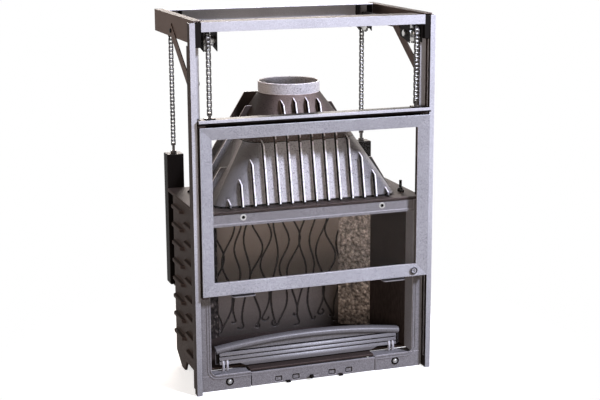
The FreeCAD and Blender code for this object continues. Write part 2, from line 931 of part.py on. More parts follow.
def right_front_stile():
    profile = [
        (opening_half_width, front_y),
        (front_half_width, front_y),
        (front_half_width, flange_front_y),
        (opening_half_width + reveal_thickness, flange_front_y),
        (opening_half_width + reveal_thickness, reveal_back),
        (opening_half_width, reveal_back),
    ]
    return prism_xy(profile, apron_height + apron_lip, lintel_top)


def right_corner_block():
    back_y = reveal_back + flat_gap
    plate = box(block_inner_x, front_half_width, front_y, flange_front_y, 0, apron_height)
    lip = box(block_inner_x, front_half_width, front_y, front_y + apron_lip_width,
              apron_height, apron_height + apron_lip)
    top = box(block_inner_x, flange_inner_x, flange_front_y, back_y,
              apron_height - block_wall, apron_height)
    inner = box(block_inner_x, block_inner_x + block_wall, flange_front_y, back_y,
                0, apron_height - block_wall)
    runner = box(block_inner_x - runner_width, block_inner_x, pan_front, pan_back,
                 0, pan_bottom - flat_gap)
    runner_foot = box(block_inner_x, block_inner_x + block_wall, back_y, pan_back,
                      0, pan_bottom - flat_gap)
    hole = rod_y(apron_bolt_x, front_y - overcut, flange_front_y + overcut, apron_bolt_z,
                 screw_radius + bolt_gap)
    return joined([plate, lip, top, inner, runner, runner_foot]).cut(hole)


def lintel_screw(x):
    head = Part.makeCone(screw_head_radius, screw_head_radius - screw_head_taper, screw_head,
                         Vector(x, front_y, lintel_screw_z), Vector(0, -1, 0))
    shank = rod_y(x, front_y, front_back_y + steel, lintel_screw_z, screw_radius)
    socket = rod_y(x, front_y - screw_head, front_y - screw_head / 3.0, lintel_screw_z, screw_socket)
    return joined([head, shank]).cut(socket)


def apron_bolt(x):
    sphere_radius = (apron_bolt_radius ** 2 + apron_bolt_dome ** 2) / (2.0 * apron_bolt_dome)
    centre = Vector(x, front_y - apron_bolt_dome + sphere_radius, apron_bolt_z)
    ball = Part.makeSphere(sphere_radius, centre)
    slab = rod_y(x, front_y - apron_bolt_dome, front_y, apron_bolt_z, 2 * sphere_radius)
    shank = rod_y(x, front_y, flange_front_y + steel, apron_bolt_z, screw_radius)
    return joined([ball.common(slab), shank])


# Ash drawer and air register

def drawer_front():
    panel = box(-drawer_half_width, drawer_half_width, front_y, front_back_y, drawer_bottom, apron_height)
    cuts = []
    for x in window_centres:
        cuts.append(box(x - window_width / 2.0, x + window_width / 2.0,
                        front_y - overcut, front_back_y + overcut,
                        window_bottom, window_bottom + window_height))
    stem = knob_stem_radius + bolt_gap
    cuts.append(box(knob_x - stem, knob_x + register_travel + stem,
                    front_y - overcut, front_back_y + overcut,
                    slot_z - slot_height / 2.0, slot_z + slot_height / 2.0))
    reach = register_half_length + register_travel + flat_gap
    cuts.append(box(-reach, reach, front_y + window_skin, front_back_y + overcut,
                    register_bottom - flat_gap, register_bottom + register_height + flat_gap))
    panel = panel.cut(cuts)
    pulls = []
    for x in (-pull_x, pull_x):
        pulls.append(box(x - pull_width / 2.0, x + pull_width / 2.0, front_y - pull_reach, front_y,
                         drawer_bottom, drawer_bottom + pull_thickness))
    return joined([panel] + pulls)


def ash_pan():
    top_z = pan_bottom + pan_height
    floor_z = pan_bottom + pan_wall
    half_in = pan_half_width - pan_wall
    plates = [box(-pan_half_width, pan_half_width, pan_front, pan_back, pan_bottom, floor_z)]
    for y0 in (pan_front, pan_back - pan_wall):
        plates.append(box(-half_in, half_in, y0, y0 + pan_wall, floor_z, top_z))
    for x0 in (-pan_half_width, half_in):
        plates.append(box(x0, x0 + pan_wall, front_back_y, pan_back, floor_z, top_z))
    return Part.makeCompound(plates)


def air_register():
    y0 = register_y
    y1 = y0 + register_thickness
    plate = box(-register_half_length - register_travel, register_half_length, y0, y1,
                register_bottom, register_bottom + register_height)
    cuts = []
    for x in window_centres:
        middle = x - register_travel
        cuts.append(box(middle - register_hole / 2.0, middle + register_hole / 2.0,
                        y0 - overcut, y1 + overcut,
                        window_bottom, window_bottom + window_height))
    return plate.cut(cuts)


def register_knob():
    ball = Part.makeSphere(knob_radius, Vector(knob_x, knob_y, slot_z))
    stem = rod_y(knob_x, knob_y, register_y, slot_z, knob_stem_radius)
    return joined([ball, stem])


# Firebox

def right_side_wall():
    wall = box(side_inner_x, side_outer_x, web_depth, side_back, wall_bottom, lintel_top)
    parts = [wall]
    for column, (y0, y1) in enumerate(fin_columns):
        for row in range(fin_rows):
            z0 = fin_first + row * fin_pitch + column * fin_pitch / 2.0
            if z0 + fin_thickness > lintel_top:
                continue
            x1 = side_outer_x + fin_reach
            profile = [(side_outer_x, y0), (x1, y0 + fin_reach), (x1, y1 - fin_reach), (side_outer_x, y1)]
            parts.append(prism_xy(profile, z0, z0 + fin_thickness))
    foot = [
        (foot_back_y, wall_bottom),
        (foot_tip_back_y, 0),
        (foot_tip_front_y, 0),
        (foot_front_y, wall_bottom),
    ]
    parts.append(prism_yz(foot, side_inner_x, side_outer_x))
    return joined(parts)


def back_wall():
    inner_y = back_y - back_wall_thickness
    inner_half = back_half_width - back_wall_thickness / 2.0
    profile = [
        (-side_outer_x, side_back),
        (-side_inner_x, side_back),
        (-inner_half, inner_y),
        (inner_half, inner_y),
        (side_inner_x, side_back),
        (side_outer_x, side_back),
        (back_half_width, back_y),
        (-back_half_width, back_y),
    ]
    return prism_xy(profile, wall_bottom, lintel_top)


def lining_corners():
    inner = [
        Vector(opening_half_width, reveal_back, 0),
        Vector(lining_back_x, lining_back_y, 0),
        Vector(fireback_half_width, fireback_y, 0),
        Vector(0, fireback_y, 0),
    ]
    normals = []
    for a, b in zip(inner, inner[1:]):
        along = (b - a).normalize()
        normals.append(Vector(along.y, -along.x, 0))
    outer = [Vector(inner[0].x + lining_thickness / normals[0].x, inner[0].y, 0)]
    for corner, n0, n1 in zip(inner[1:3], normals, normals[1:]):
        bisector = (n0 + n1).normalize()
        outer.append(corner + bisector * (lining_thickness / bisector.dot(n0)))
    return inner, outer


def right_lining(index):
    inner, outer = lining_corners()
    ring = [inner[index], inner[index + 1], outer[index + 1], outer[index]]
    return prism_xy([(p.x, p.y) for p in ring], hearth_top, lining_top)


def fireback():
    inner, outer = lining_corners()
    profile = [
        (-inner[2].x, inner[2].y),
        (inner[2].x, inner[2].y),
        (outer[2].x, outer[2].y),
        (-outer[2].x, outer[2].y),
    ]
    return prism_xy(profile, hearth_top, lining_top)


def hearth_plate():
    z0 = hearth_top - hearth_thickness
    front = front_back_y + register_thickness + 2 * flat_gap
    half_back = back_half_width - 2 * back_wall_thickness
    profile = [
        (-drawer_half_width, front),
        (drawer_half_width, front),
        (drawer_half_width, reveal_back + flat_gap),
        (side_inner_x, reveal_back + flat_gap),
        (side_inner_x, side_back),
        (half_back, hearth_back),
        (-half_back, hearth_back),
        (-side_inner_x, side_back),
        (-side_inner_x, reveal_back + flat_gap),
        (-drawer_half_width, reveal_back + flat_gap),
    ]
    plate = prism_xy(profile, z0, hearth_top)
    hole = box(-grate_half_width, grate_half_width, grate_front, grate_back,
               z0 - overcut, hearth_top + overcut)
    return plate.cut(hole)


def ash_grate():
    z0 = hearth_top
    lid = box(-grate_half_width - grate_rim, grate_half_width + grate_rim,
              grate_front - grate_rim, grate_back + grate_rim, z0, z0 + grate_ledge)
    core = box(-grate_half_width + flat_gap, grate_half_width - flat_gap, grate_front + flat_gap,
               grate_back - flat_gap, z0 + grate_ledge - grate_thickness, z0)
    slots = []
    pitch = 2.0 * grate_half_width / grate_slots
    for i in range(grate_slots):
        x = -grate_half_width + (i + 0.5) * pitch
        slots.append(box(x - grate_slot / 2.0, x + grate_slot / 2.0, grate_front + grate_rim,
                         grate_back - grate_rim, z0 - grate_thickness, z0 + grate_thickness))
    return joined([lid, core]).cut(slots)


def smoke_baffle():
    profile = [
        (-baffle_half_width, baffle_front),
        (baffle_half_width, baffle_front),
        (lining_back_x, lining_back_y),
        (fireback_half_width, fireback_y),
        (-fireback_half_width, fireback_y),
        (-lining_back_x, lining_back_y),
    ]
    rest = 1.0 + lining_thickness / (2.0 * lining_back_x)
    spread = [(x * rest, y) for x, y in profile]
    return prism_xy(spread, lining_top, lining_top + baffle_thickness)


def top_plate():
    plate = box(-side_outer_x, side_outer_x, front_y, top_plate_back, lintel_top, hood_base)
    hole = box(-hood_half_width + hood_hole_margin, hood_half_width - hood_hole_margin,
               hood_front + hood_hole_margin, hood_back - hood_hole_margin,
               lintel_top - overcut, hood_base + overcut)
    notch = box(flange_inner_x - flat_gap, side_outer_x + overcut, flange_front_y,
                web_depth + back_return + flat_gap, lintel_top - overcut, hood_base + overcut)
    return plate.cut([hole, notch, mirrored(notch)])


# Smoke hood: a rounded rectangle drawn up to the round flue, with thin upright ribs all round

def rounded_rectangle(half_x, y0, y1, corner, z):
    left, right = -half_x + corner, half_x - corner
    near, far = y0 + corner, y1 - corner
    sides = [
        ((left, y0), (right, y0), (right, near), -90),
        ((half_x, near), (half_x, far), (right, far), 0),
        ((right, y1), (left, y1), (left, far), 90),
        ((-half_x, far), (-half_x, near), (left, near), 180),
    ]
    edges = []
    for start, end, centre, angle in sides:
        edges.append(Part.LineSegment(Vector(*start, z), Vector(*end, z)).toShape())
        circle = Part.Circle(Vector(*centre, z), Vector(0, 0, 1), corner)
        edges.append(Part.ArcOfCircle(circle, math.radians(angle), math.radians(angle + 90)).toShape())
    return Part.Wire(edges)


def split_circle(radius, z):
    flat = flue_flat_angle
    circle = Part.Circle(Vector(0, flue_y, z), Vector(0, 0, 1), radius)
    edges = []
    for middle in (-90, 0, 90, 180):
        for a, b in ((middle - flat, middle + flat), (middle + flat, middle + 90 - flat)):
            edges.append(Part.ArcOfCircle(circle, math.radians(a), math.radians(b)).toShape())
    return Part.Wire(edges)


def kink_outline():
    half = hood_half_width + kink_share * (collar_radius - hood_half_width)
    flat_top = collar_radius * math.sin(math.radians(flue_flat_angle))
    flat_base = hood_half_width - hood_corner
    corner = half - flat_base - kink_share * (flat_top - flat_base)
    front = hood_front + kink_lean
    back = hood_back + kink_share * (flue_y + collar_radius - hood_back)
    return half, front, back, corner


def hood_loft(inset):
    half, front, back, corner = kink_outline()
    sections = [
        rounded_rectangle(hood_half_width - inset, hood_front + inset, hood_back - inset,
                          hood_corner - inset, hood_base),
        rounded_rectangle(half - inset, front + inset, back - inset, corner - inset, kink_z),
        split_circle(collar_radius - inset, collar_bottom),
    ]
    return Part.makeLoft(sections, True, True)


def skin_at(z, base_y, kink_y, peak_y):
    if z <= kink_z:
        return base_y + (kink_y - base_y) * (z - hood_base) / (kink_z - hood_base)
    return kink_y + (peak_y - kink_y) * (z - kink_z) / (collar_bottom - kink_z)


def end_ribs(x):
    steps_in = front_ribs_each_side - 0.5 - abs(x) / rib_pitch
    top = min(hood_base + rib_first_height + rib_step * steps_in,
              collar_bottom - rib_top_drop - rib_end_slope)
    levels = [hood_base, kink_z, top] if top > kink_z else [hood_base, top]
    front, back = kink_outline()[1:3]
    ribs = []
    for base_y, kink_y, peak_y, inward in ((hood_front, front, flue_y - collar_radius, 1),
                                           (hood_back, back, flue_y + collar_radius, -1)):
        profile = [(skin_at(z, base_y, kink_y, peak_y) - inward * rib_stand, z) for z in levels]
        end_z = top + rib_end_slope
        profile.append((skin_at(end_z, base_y, kink_y, peak_y), end_z))
        profile.append((flue_y - inward * rib_root, end_z))
        profile.append((flue_y - inward * rib_root, hood_base))
        ribs.append(prism_yz(profile, x - rib_width / 2.0, x + rib_width / 2.0))
    return ribs


def side_rib(y, top):
    kink_half = kink_outline()[0]
    levels = [hood_base, kink_z, top] if top > kink_z else [hood_base, top]
    root_x = collar_radius - rib_root
    profile = [(skin_at(z, hood_half_width, kink_half, collar_radius) + rib_stand, z) for z in levels]
    profile += [(root_x, top), (root_x, hood_base)]
    return prism_xz(profile, y - rib_width / 2.0, y + rib_width / 2.0)


def smoke_hood():
    ribs = []
    for k in range(-side_ribs_front, side_ribs_back + 1):
        rise = side_rib_first + side_rib_rise * (k + 1) * side_rib_pitch
        if rise < rib_first_height:
            continue
        top = min(hood_base + rise, collar_bottom - rib_top_drop)
        rib = side_rib(flue_y + k * side_rib_pitch, top)
        ribs += [rib, mirrored(rib)]
    for i in range(-front_ribs_each_side, front_ribs_each_side):
        ribs += end_ribs((i + 0.5) * rib_pitch)
    return joined([hood_loft(0)] + ribs).cut(hood_loft(hood_wall))


def flue_collar():
    outer = rod_z(0, flue_y, collar_bottom, collar_bottom + collar_height, collar_radius)
    bore = rod_z(0, flue_y, collar_bottom - overcut, collar_bottom + collar_height + overcut,
                 flue_bore_radius)
    return outer.cut(bore)


def right_hood_clamp():
    plate_top = hood_base + clamp_plate
    plate = box(hood_half_width + rib_stand, clamp_x + clamp_plate_half,
                clamp_y - clamp_plate_half, clamp_y + clamp_plate_half, hood_base, plate_top)
    bolt = rod_z(clamp_x, clamp_y, hood_base, hood_base + clamp_bolt_height, clamp_bolt_radius)
    nut = hexagon_z(clamp_x, clamp_y, plate_top, plate_top + clamp_nut_height, clamp_nut_flats)
    return joined([plate, bolt, nut])


# Log fender: an arched band over straight bars, on two-pronged feet

def arch_band(y0, y1):
    low = fender_end_top
    half = fender_half_length
    left = Vector(-half, y0, low)
    right = Vector(half, y0, low)
    crown = Vector(0, y0, low + fender_crown)
    down = Vector(0, 0, -fender_band)
    edges = [
        Part.Arc(left, crown, right).toShape(),
        Part.LineSegment(right, right + down).toShape(),
        Part.Arc(right + down, crown + down, left + down).toShape(),
        Part.LineSegment(left + down, left).toShape(),
    ]
    return Part.Face(Part.Wire(edges)).extrude(Vector(0, y1 - y0, 0))


def log_fender():
    half = fender_half_length
    back = fender_front + fender_depth
    band = arch_band(fender_front, fender_front + fender_band_depth)
    low = Vector(-half, back - fender_web, fender_bar_low)
    right = Vector(half, back - fender_web, fender_bar_low)
    arc_left = Vector(-half, back - fender_web, fender_end_top - fender_band)
    arc_right = Vector(half, back - fender_web, fender_end_top - fender_band)
    crown = Vector(0, back - fender_web, fender_end_top - fender_band + fender_crown)
    web = Part.Face(Part.Wire([
        Part.LineSegment(low, right).toShape(),
        Part.LineSegment(right, arc_right).toShape(),
        Part.Arc(arc_right, crown, arc_left).toShape(),
        Part.LineSegment(arc_left, low).toShape(),
    ])).extrude(Vector(0, fender_web, 0))
    shapes = [band, web]
    for i in range(fender_bars):
        z0 = fender_bar_low + i * fender_bar_pitch
        profile = [(fender_front, z0), (back - fender_web, z0), (back - fender_web, z0 + fender_bar_height),
                   (fender_front + fender_web, z0 + fender_bar_height)]
        bar_half = half if z0 + fender_bar_height < fender_end_top - fender_band else half - fender_band
        shapes.append(prism_yz(profile, -bar_half, bar_half))
    lip_profile = [
        (-fender_lip_half - fender_lip_chamfer, fender_bar_low),
        (fender_lip_half + fender_lip_chamfer, fender_bar_low),
        (fender_lip_half, hearth_top + grate_ledge + flat_gap),
        (-fender_lip_half, hearth_top + grate_ledge + flat_gap),
    ]
    shapes.append(prism_xz(lip_profile, fender_front, back))
    for side in (-1, 1):
        for step in (-1, 1):
            x = side * fork_x + step * (fork_prong + fork_gap) / 2.0
            shapes.append(box(x - fork_prong / 2.0, x + fork_prong / 2.0, fender_front, back,
                              apron_height, fender_bar_low))
    return joined(shapes)


def build():
    os.makedirs("parts", exist_ok=True)
    write("right_upright", right_upright())
    write("left_upright", mirrored(right_upright()))
    write("right_side_channel", right_side_channel())
    write("left_side_channel", mirrored(right_side_channel()))
    write("front_beam", front_beam())
    write("rear_beam", rear_beam())
    write("door_stops", both_sides(right_door_stop()))
    write("tray_braces", Part.makeCompound([brace(inside_brace_x), mirrored(brace(outside_brace_x))]))
    brackets = []
    axles = []
    for place, y, top_z, half_depth in (
        ("front", front_sprocket_y, beam_top - steel, front_bracket_half_depth),
        ("rear", rear_sprocket_y, tray_top - steel, rear_bracket_half_depth),
    ):
        wheel = sprocket(y)
        write("right_" + place + "_sprocket", wheel)
        write("left_" + place + "_sprocket", mirrored(wheel))
        bracket = sprocket_bracket(y, top_z, half_depth)
        axle = sprocket_axle(y)
        brackets += [bracket, mirrored(bracket)]
        axles += [axle, mirrored(axle)]
    write("sprocket_brackets", Part.makeCompound(brackets))
    write("sprocket_axles", Part.makeCompound(axles))
    links = chain_links()
    wrap_end = len(links) - rear_strand_pitches
    write("front_chain_strands", both_strands(links[:front_strand_pitches]))
    write("top_chain_runs", both_strands(links[front_strand_pitches:wrap_end]))
    write("rear_chain_strands", both_strands(links[wrap_end:]))

    write("right_counterweight", right_weight())
    write("left_counterweight", mirrored(right_weight()))
    write("right_counterweight_rod", right_weight_rod())
    write("left_counterweight_rod", mirrored(right_weight_rod()))

    write("door_frame", door_frame())
    write("glass_pane", glass_pane())
    write("glass_gasket", glass_gasket())
    write("glass_clips", glass_clips())
    write("lift_tabs", both_sides(right_lift_tab()))
    write("door_lock", door_lock())
    write("carriage_stiles", Part.makeCompound([left_stile(), right_stile()]))
    write("carriage_top_rail", carriage_top_rail())
    write("carriage_bottom_rail", carriage_bottom_rail())
    write("hinge_pins", hinge_pins())
    write("lock_keeper", lock_keeper())
    shoes = right_guide_shoes()
    write("guide_shoes", Part.makeCompound(shoes + [mirrored(shoe) for shoe in shoes]))
    write("chain_anchors", both_sides(right_chain_anchor()))

    write("front_lintel", front_lintel())
    write("right_front_stile", right_front_stile())
    write("left_front_stile", mirrored(right_front_stile()))
    write("right_corner_block", right_corner_block())
    write("left_corner_block", mirrored(right_corner_block()))
    write("drawer_front", drawer_front())
    write("ash_pan", ash_pan())
    write("air_register", air_register())
    write("register_knob", register_knob())
    write("right_side_wall", right_side_wall())
    write("left_side_wall", mirrored(right_side_wall()))
    write("back_wall", back_wall())
    write("right_side_lining", right_lining(0))
    write("left_side_lining", mirrored(right_lining(0)))
    write("right_corner_panel", right_lining(1))
    write("left_corner_panel", mirrored(right_lining(1)))
    write("fireback", fireback())
    write("hearth_plate", hearth_plate())
    write("ash_grate", ash_grate())
    write("smoke_baffle", smoke_baffle())
    write("top_plate", top_plate())
    write("smoke_hood", smoke_hood())
    write("flue_collar", flue_collar())
    write("log_fender", log_fender())
    front_screws = [apron_bolt(-apron_bolt_x), apron_bolt(apron_bolt_x)]
    front_screws += [lintel_screw(-lintel_screw_x), lintel_screw(lintel_screw_x)]
    write("front_screws", Part.makeCompound(front_screws))
    clamp = right_hood_clamp()
    bolts = right_brace_bolts() + left_brace_bolts() + [clamp, mirrored(clamp)]
    write("frame_bolts", Part.makeCompound(bolts))


build()
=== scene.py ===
import json
import math
from functools import partial

import bmesh
import bpy
from bpy.props import FloatProperty, FloatVectorProperty, IntProperty, PointerProperty
from mathutils import Matrix, Vector, kdtree, noise
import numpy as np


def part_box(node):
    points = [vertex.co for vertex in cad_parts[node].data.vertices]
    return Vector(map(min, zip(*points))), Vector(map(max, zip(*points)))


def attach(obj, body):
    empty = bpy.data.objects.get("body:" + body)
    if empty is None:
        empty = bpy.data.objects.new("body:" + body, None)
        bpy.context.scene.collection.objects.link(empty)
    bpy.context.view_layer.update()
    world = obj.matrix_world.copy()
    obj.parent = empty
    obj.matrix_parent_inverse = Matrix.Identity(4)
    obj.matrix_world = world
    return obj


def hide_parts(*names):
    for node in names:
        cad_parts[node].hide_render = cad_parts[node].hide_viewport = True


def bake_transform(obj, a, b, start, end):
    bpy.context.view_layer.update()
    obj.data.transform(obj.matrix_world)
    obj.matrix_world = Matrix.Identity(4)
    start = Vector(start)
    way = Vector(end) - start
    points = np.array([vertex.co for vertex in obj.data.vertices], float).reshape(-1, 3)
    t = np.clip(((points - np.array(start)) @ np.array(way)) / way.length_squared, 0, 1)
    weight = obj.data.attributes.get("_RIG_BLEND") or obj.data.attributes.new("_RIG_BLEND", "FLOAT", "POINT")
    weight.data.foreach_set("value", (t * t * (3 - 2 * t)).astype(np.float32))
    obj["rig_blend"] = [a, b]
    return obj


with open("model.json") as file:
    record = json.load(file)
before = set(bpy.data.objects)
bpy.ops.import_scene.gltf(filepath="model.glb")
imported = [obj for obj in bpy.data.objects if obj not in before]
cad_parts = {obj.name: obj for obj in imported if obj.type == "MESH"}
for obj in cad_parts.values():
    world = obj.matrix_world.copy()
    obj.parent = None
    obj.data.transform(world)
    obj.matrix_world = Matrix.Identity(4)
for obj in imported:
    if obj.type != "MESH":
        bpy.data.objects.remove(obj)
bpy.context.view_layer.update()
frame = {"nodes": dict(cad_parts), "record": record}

bl_info = {
    "name": "Fireplace insert finishes",
    "version": (1, 0, 0),
    "blender": (4, 5, 0),
    "location": "View3D > Sidebar > Hearth",
    "description": "Finished pieces of a cast-iron fireplace insert with a rising glazed door",
    "category": "Object",
}

MM = 0.001
BODY_OF = {node: body for body, nodes in frame["record"]["behaviour"]["bodies"].items() for node in nodes}
SLOT_OF = {part["node"]: part["material_slot"] for part in frame["record"]["subparts"]}
HANDS = {"left": -1.0, "right": 1.0}
RIGHT_ANGLE = math.pi / 2.0
WELD = 0.002 * MM
FLAT_ANGLE = math.radians(0.2)
EDGE_ANGLE = math.radians(28.0)
SMOOTH_ANGLE = math.radians(38.0)
# A face looks along an axis where that axis has more than this share of its normal.
FACING = 0.8
# What full darkening, mostly painted shade, leaves of a finish's brightness.
DARKEST = 0.05


def linear(code):
    """The linear colour of an sRGB hex code, with full opacity."""
    parts = [int(code[i:i + 2], 16) / 255.0 for i in (1, 3, 5)]
    return tuple(p / 12.92 if p <= 0.04045 else ((p + 0.055) / 1.055) ** 2.4 for p in parts) + (1.0,)


def low(node):
    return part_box(node)[0]


def high(node):
    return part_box(node)[1]


def middle_of(node):
    return (low(node) + high(node)) / 2.0


def nearest_x(node):
    """How near a node on one side comes to the middle of the insert."""
    return min(abs(low(node).x), abs(high(node).x))


def length(name, text, millimetres):
    return FloatProperty(name=name, description=text, default=millimetres * MM, unit="LENGTH")


def number(name, text, amount):
    return IntProperty(name=name, description=text, default=amount)


def tilt(name, text, degrees):
    return FloatProperty(name=name, description=text, default=math.radians(degrees), subtype="ANGLE")


def colour(name, text, code):
    return FloatVectorProperty(name=name, description=text, default=linear(code), size=4, subtype="COLOR",
                               min=0.0, max=1.0)


class FinishColours(bpy.types.PropertyGroup):
    paint: colour("Paint", "Satin metallic grey paint", "#D2D1D6")
    paint_dark: colour("Paint in hollows", "The same paint where its flakes lie flat", "#9B999D")
    primer: colour("Primer", "Brown primer of the side channels and braces", "#6A5D58")
    casting: colour("Casting paint", "The same paint on rough castings", "#8E8B8D")
    casting_dark: colour("Casting paint in hollows", "Casting paint in the sand's hollows", "#696667")
    lining: colour("Lining", "Bare cast iron of the fireback", "#B4A59B")
    dark_iron: colour("Dark iron", "Bare cast iron of the outer walls", "#3F3633")
    chain: colour("Chain steel", "Oiled chain plates", "#4A4542")
    bright: colour("Bright steel", "Turned and plated steel", "#CFCDCB")
    black: colour("Black steel", "Black-oxide steel and black paint", "#15110F")
    floor: colour("Floor", "Plain pale floor", "#FAFAFA")


class EdgeSizes(bpy.types.PropertyGroup):
    sheet: length("Sheet edge", "Rounding of folded steel edges", 0.7)
    casting: length("Casting edge", "Rounding of front castings", 1.4)
    rough: length("Rough casting edge", "Rounding of walls and plates", 2.0)
    small: length("Small edge", "Rounding of turned and stamped parts", 0.4)


class ChainSizes(bpy.types.PropertyGroup):
    pitch: length("Pitch", "From pin to pin", 12.7)
    roller: length("Roller radius", "Outside of a roller", 4.25)
    inner_width: length("Inner width", "Between the inner plates", 7.8)
    plate: length("Plate thickness", "One link plate", 1.6)
    inner_plate: length("Inner plate radius", "End radius of an inner plate", 5.9)
    outer_plate: length("Outer plate radius", "End radius of an outer plate", 5.2)
    pin: length("Pin radius", "Link pin", 2.2)
    front_links: number("Front links", "Links from the carriage to a wheel", 18)
    top_links: number("Top links", "Links between the two wheels", 33)
    wrap_links: number("Wrap links", "Links round a quarter of a wheel", 4)
    rear_links: number("Rear links", "Links from a wheel to its weight", 32)


class FirebackSizes(bpy.types.PropertyGroup):
    grooves: number("Grooves", "Wavy grooves across the fireback", 13)
    groove_width: length("Groove width", "Across one groove at the face", 7.0)
    groove_depth: length("Groove depth", "Depth of a groove", 3.6)
    wave: length("Wave height", "Sideways swing of a groove", 18.0)
    wave_length: length("Wave length", "Height of one full wave", 232.0)
    cell: length("Grid cell", "Cell of the relief mesh", 2.0)


class HammerSizes(bpy.types.PropertyGroup):
    dent: length("Dent size", "Across one hammered dent", 14.0)
    relief: length("Relief", "Height of the rough face", 3.4)
    cell: length("Grid cell", "Cell of the relief mesh", 2.0)


class FenderSizes(bpy.types.PropertyGroup):
    crown: length("Crown", "Rise of the arched band at its middle", 25.0)
    band: length("Band height", "Height of the half-round band", 25.0)
    bars: number("Louvre bars", "Straight bars under the band", 3)
    bar_pitch: length("Bar pitch", "From bar to bar", 15.0)
    bar: length("Bar height", "Height of one bar", 10.3)
    fork: length("Fork height", "Height of the two-pronged feet", 24.0)
    prong: length("Prong", "Width of one prong", 9.0)


class StageSizes(bpy.types.PropertyGroup):
    eye: FloatVectorProperty(name="Camera", description="Place of the camera", size=3, unit="LENGTH",
                             default=(-1.4756, -4.2671, 1.6026))
    yaw: tilt("Yaw", "Camera turned to the right", 19.386)
    pitch: tilt("Pitch", "Camera tipped down", 12.747)
    roll: tilt("Roll", "Camera rolled", -0.26)
    lens: FloatProperty(name="Lens", description="Focal length on a 36 mm sensor", default=80.02,
                        unit="CAMERA")
    floor_radius: length("Floor radius", "Radius of the pale floor", 3000.0)


GROUPS = {
    "hearth_colours": FinishColours,
    "hearth_edges": EdgeSizes,
    "hearth_chain": ChainSizes,
    "hearth_fireback": FirebackSizes,
    "hearth_hammer": HammerSizes,
    "hearth_fender": FenderSizes,
    "hearth_stage": StageSizes,
}


# Materials

def add_node(tree, kind, inputs=None, **settings):
    """Adds a node, sets its settings, and sets or links its inputs.

    A node stands for its first output, and a list of nodes is linked to one input in its order.
    """
    node = tree.nodes.new(kind)
    for key, value in settings.items():
        setattr(node, key, value)
    for key, value in (inputs or {}).items():
        for source in value if isinstance(value, list) else [value]:
            if isinstance(source, bpy.types.Node):
                source = source.outputs[0]
            if isinstance(source, bpy.types.NodeSocket):
                tree.links.new(source, node.inputs[key])
            else:
                node.inputs[key].default_value = source
    return node


def empty_tree(owner):
    """Empties the node tree of a new material or world, and gives what adds its nodes."""
    owner.use_nodes = True
    owner.node_tree.nodes.clear()
    return partial(add_node, owner.node_tree)


def grained(name, light, dark, metallic, roughness, grain, relief, rim=1.25, cloud=140.0, stretch=(1, 1, 1),
            sheen=0.5, pits=(0.34, 0.66)):
    """A metal surface whose colour, gloss and relief vary with a grain of a given size in millimetres.

    Rims are brighter by a given factor, as wear and as painted highlight; a darkening layer, mostly painted shade,
    darkens them, and clouds of a size in millimetres vary the tone.
    """
    material = bpy.data.materials.new(name)
    add = empty_tree(material)
    place = add("ShaderNodeTexCoord").outputs["Object"]
    place = add("ShaderNodeMapping", {"Vector": place, "Scale": stretch})
    fine = add("ShaderNodeTexNoise",
               {"Vector": place, "Scale": 1.0 / (grain * MM), "Detail": 3.0, "Roughness": 0.62})
    broad = add("ShaderNodeTexNoise",
                {"Vector": place, "Scale": 1.0 / (cloud * MM), "Detail": 4.0, "Roughness": 0.6})
    grit = add("ShaderNodeMapRange", {"Value": fine, "From Min": pits[0], "From Max": pits[1]})
    tone = add("ShaderNodeMix", {"Factor": grit, "A": dark, "B": light}, data_type="RGBA")
    mixed_colour = tone.outputs[2]
    gain = add("ShaderNodeMapRange",
               {"Value": broad, "From Min": 0.3, "From Max": 0.7, "To Min": 0.9, "To Max": 1.08})
    # Lighter rims are wear and painted highlight; the second layer darkens, mostly as painted shade.
    for layer, full in (("rim", rim), ("groove", DARKEST)):
        share = add("ShaderNodeAttribute", attribute_name=layer).outputs["Fac"]
        share = add("ShaderNodeMapRange", {"Value": share, "To Min": 1.0, "To Max": full})
        gain = add("ShaderNodeMath", {0: gain, 1: share}, operation="MULTIPLY")
    base = add("ShaderNodeVectorMath", {0: mixed_colour, "Scale": gain}, operation="SCALE")
    gloss = add("ShaderNodeMapRange",
                {"Value": fine, "From Min": 0.3, "From Max": 0.7, "To Min": roughness + 0.07,
                 "To Max": roughness - 0.06})
    bump = add("ShaderNodeBump", {"Height": fine, "Strength": 1.0, "Distance": relief * MM})
    shader = add("ShaderNodeBsdfPrincipled",
                 {"Base Color": base, "Metallic": metallic, "Roughness": gloss,
                  "Specular IOR Level": sheen, "Normal": bump})
    add("ShaderNodeOutputMaterial", {"Surface": shader})
    return material


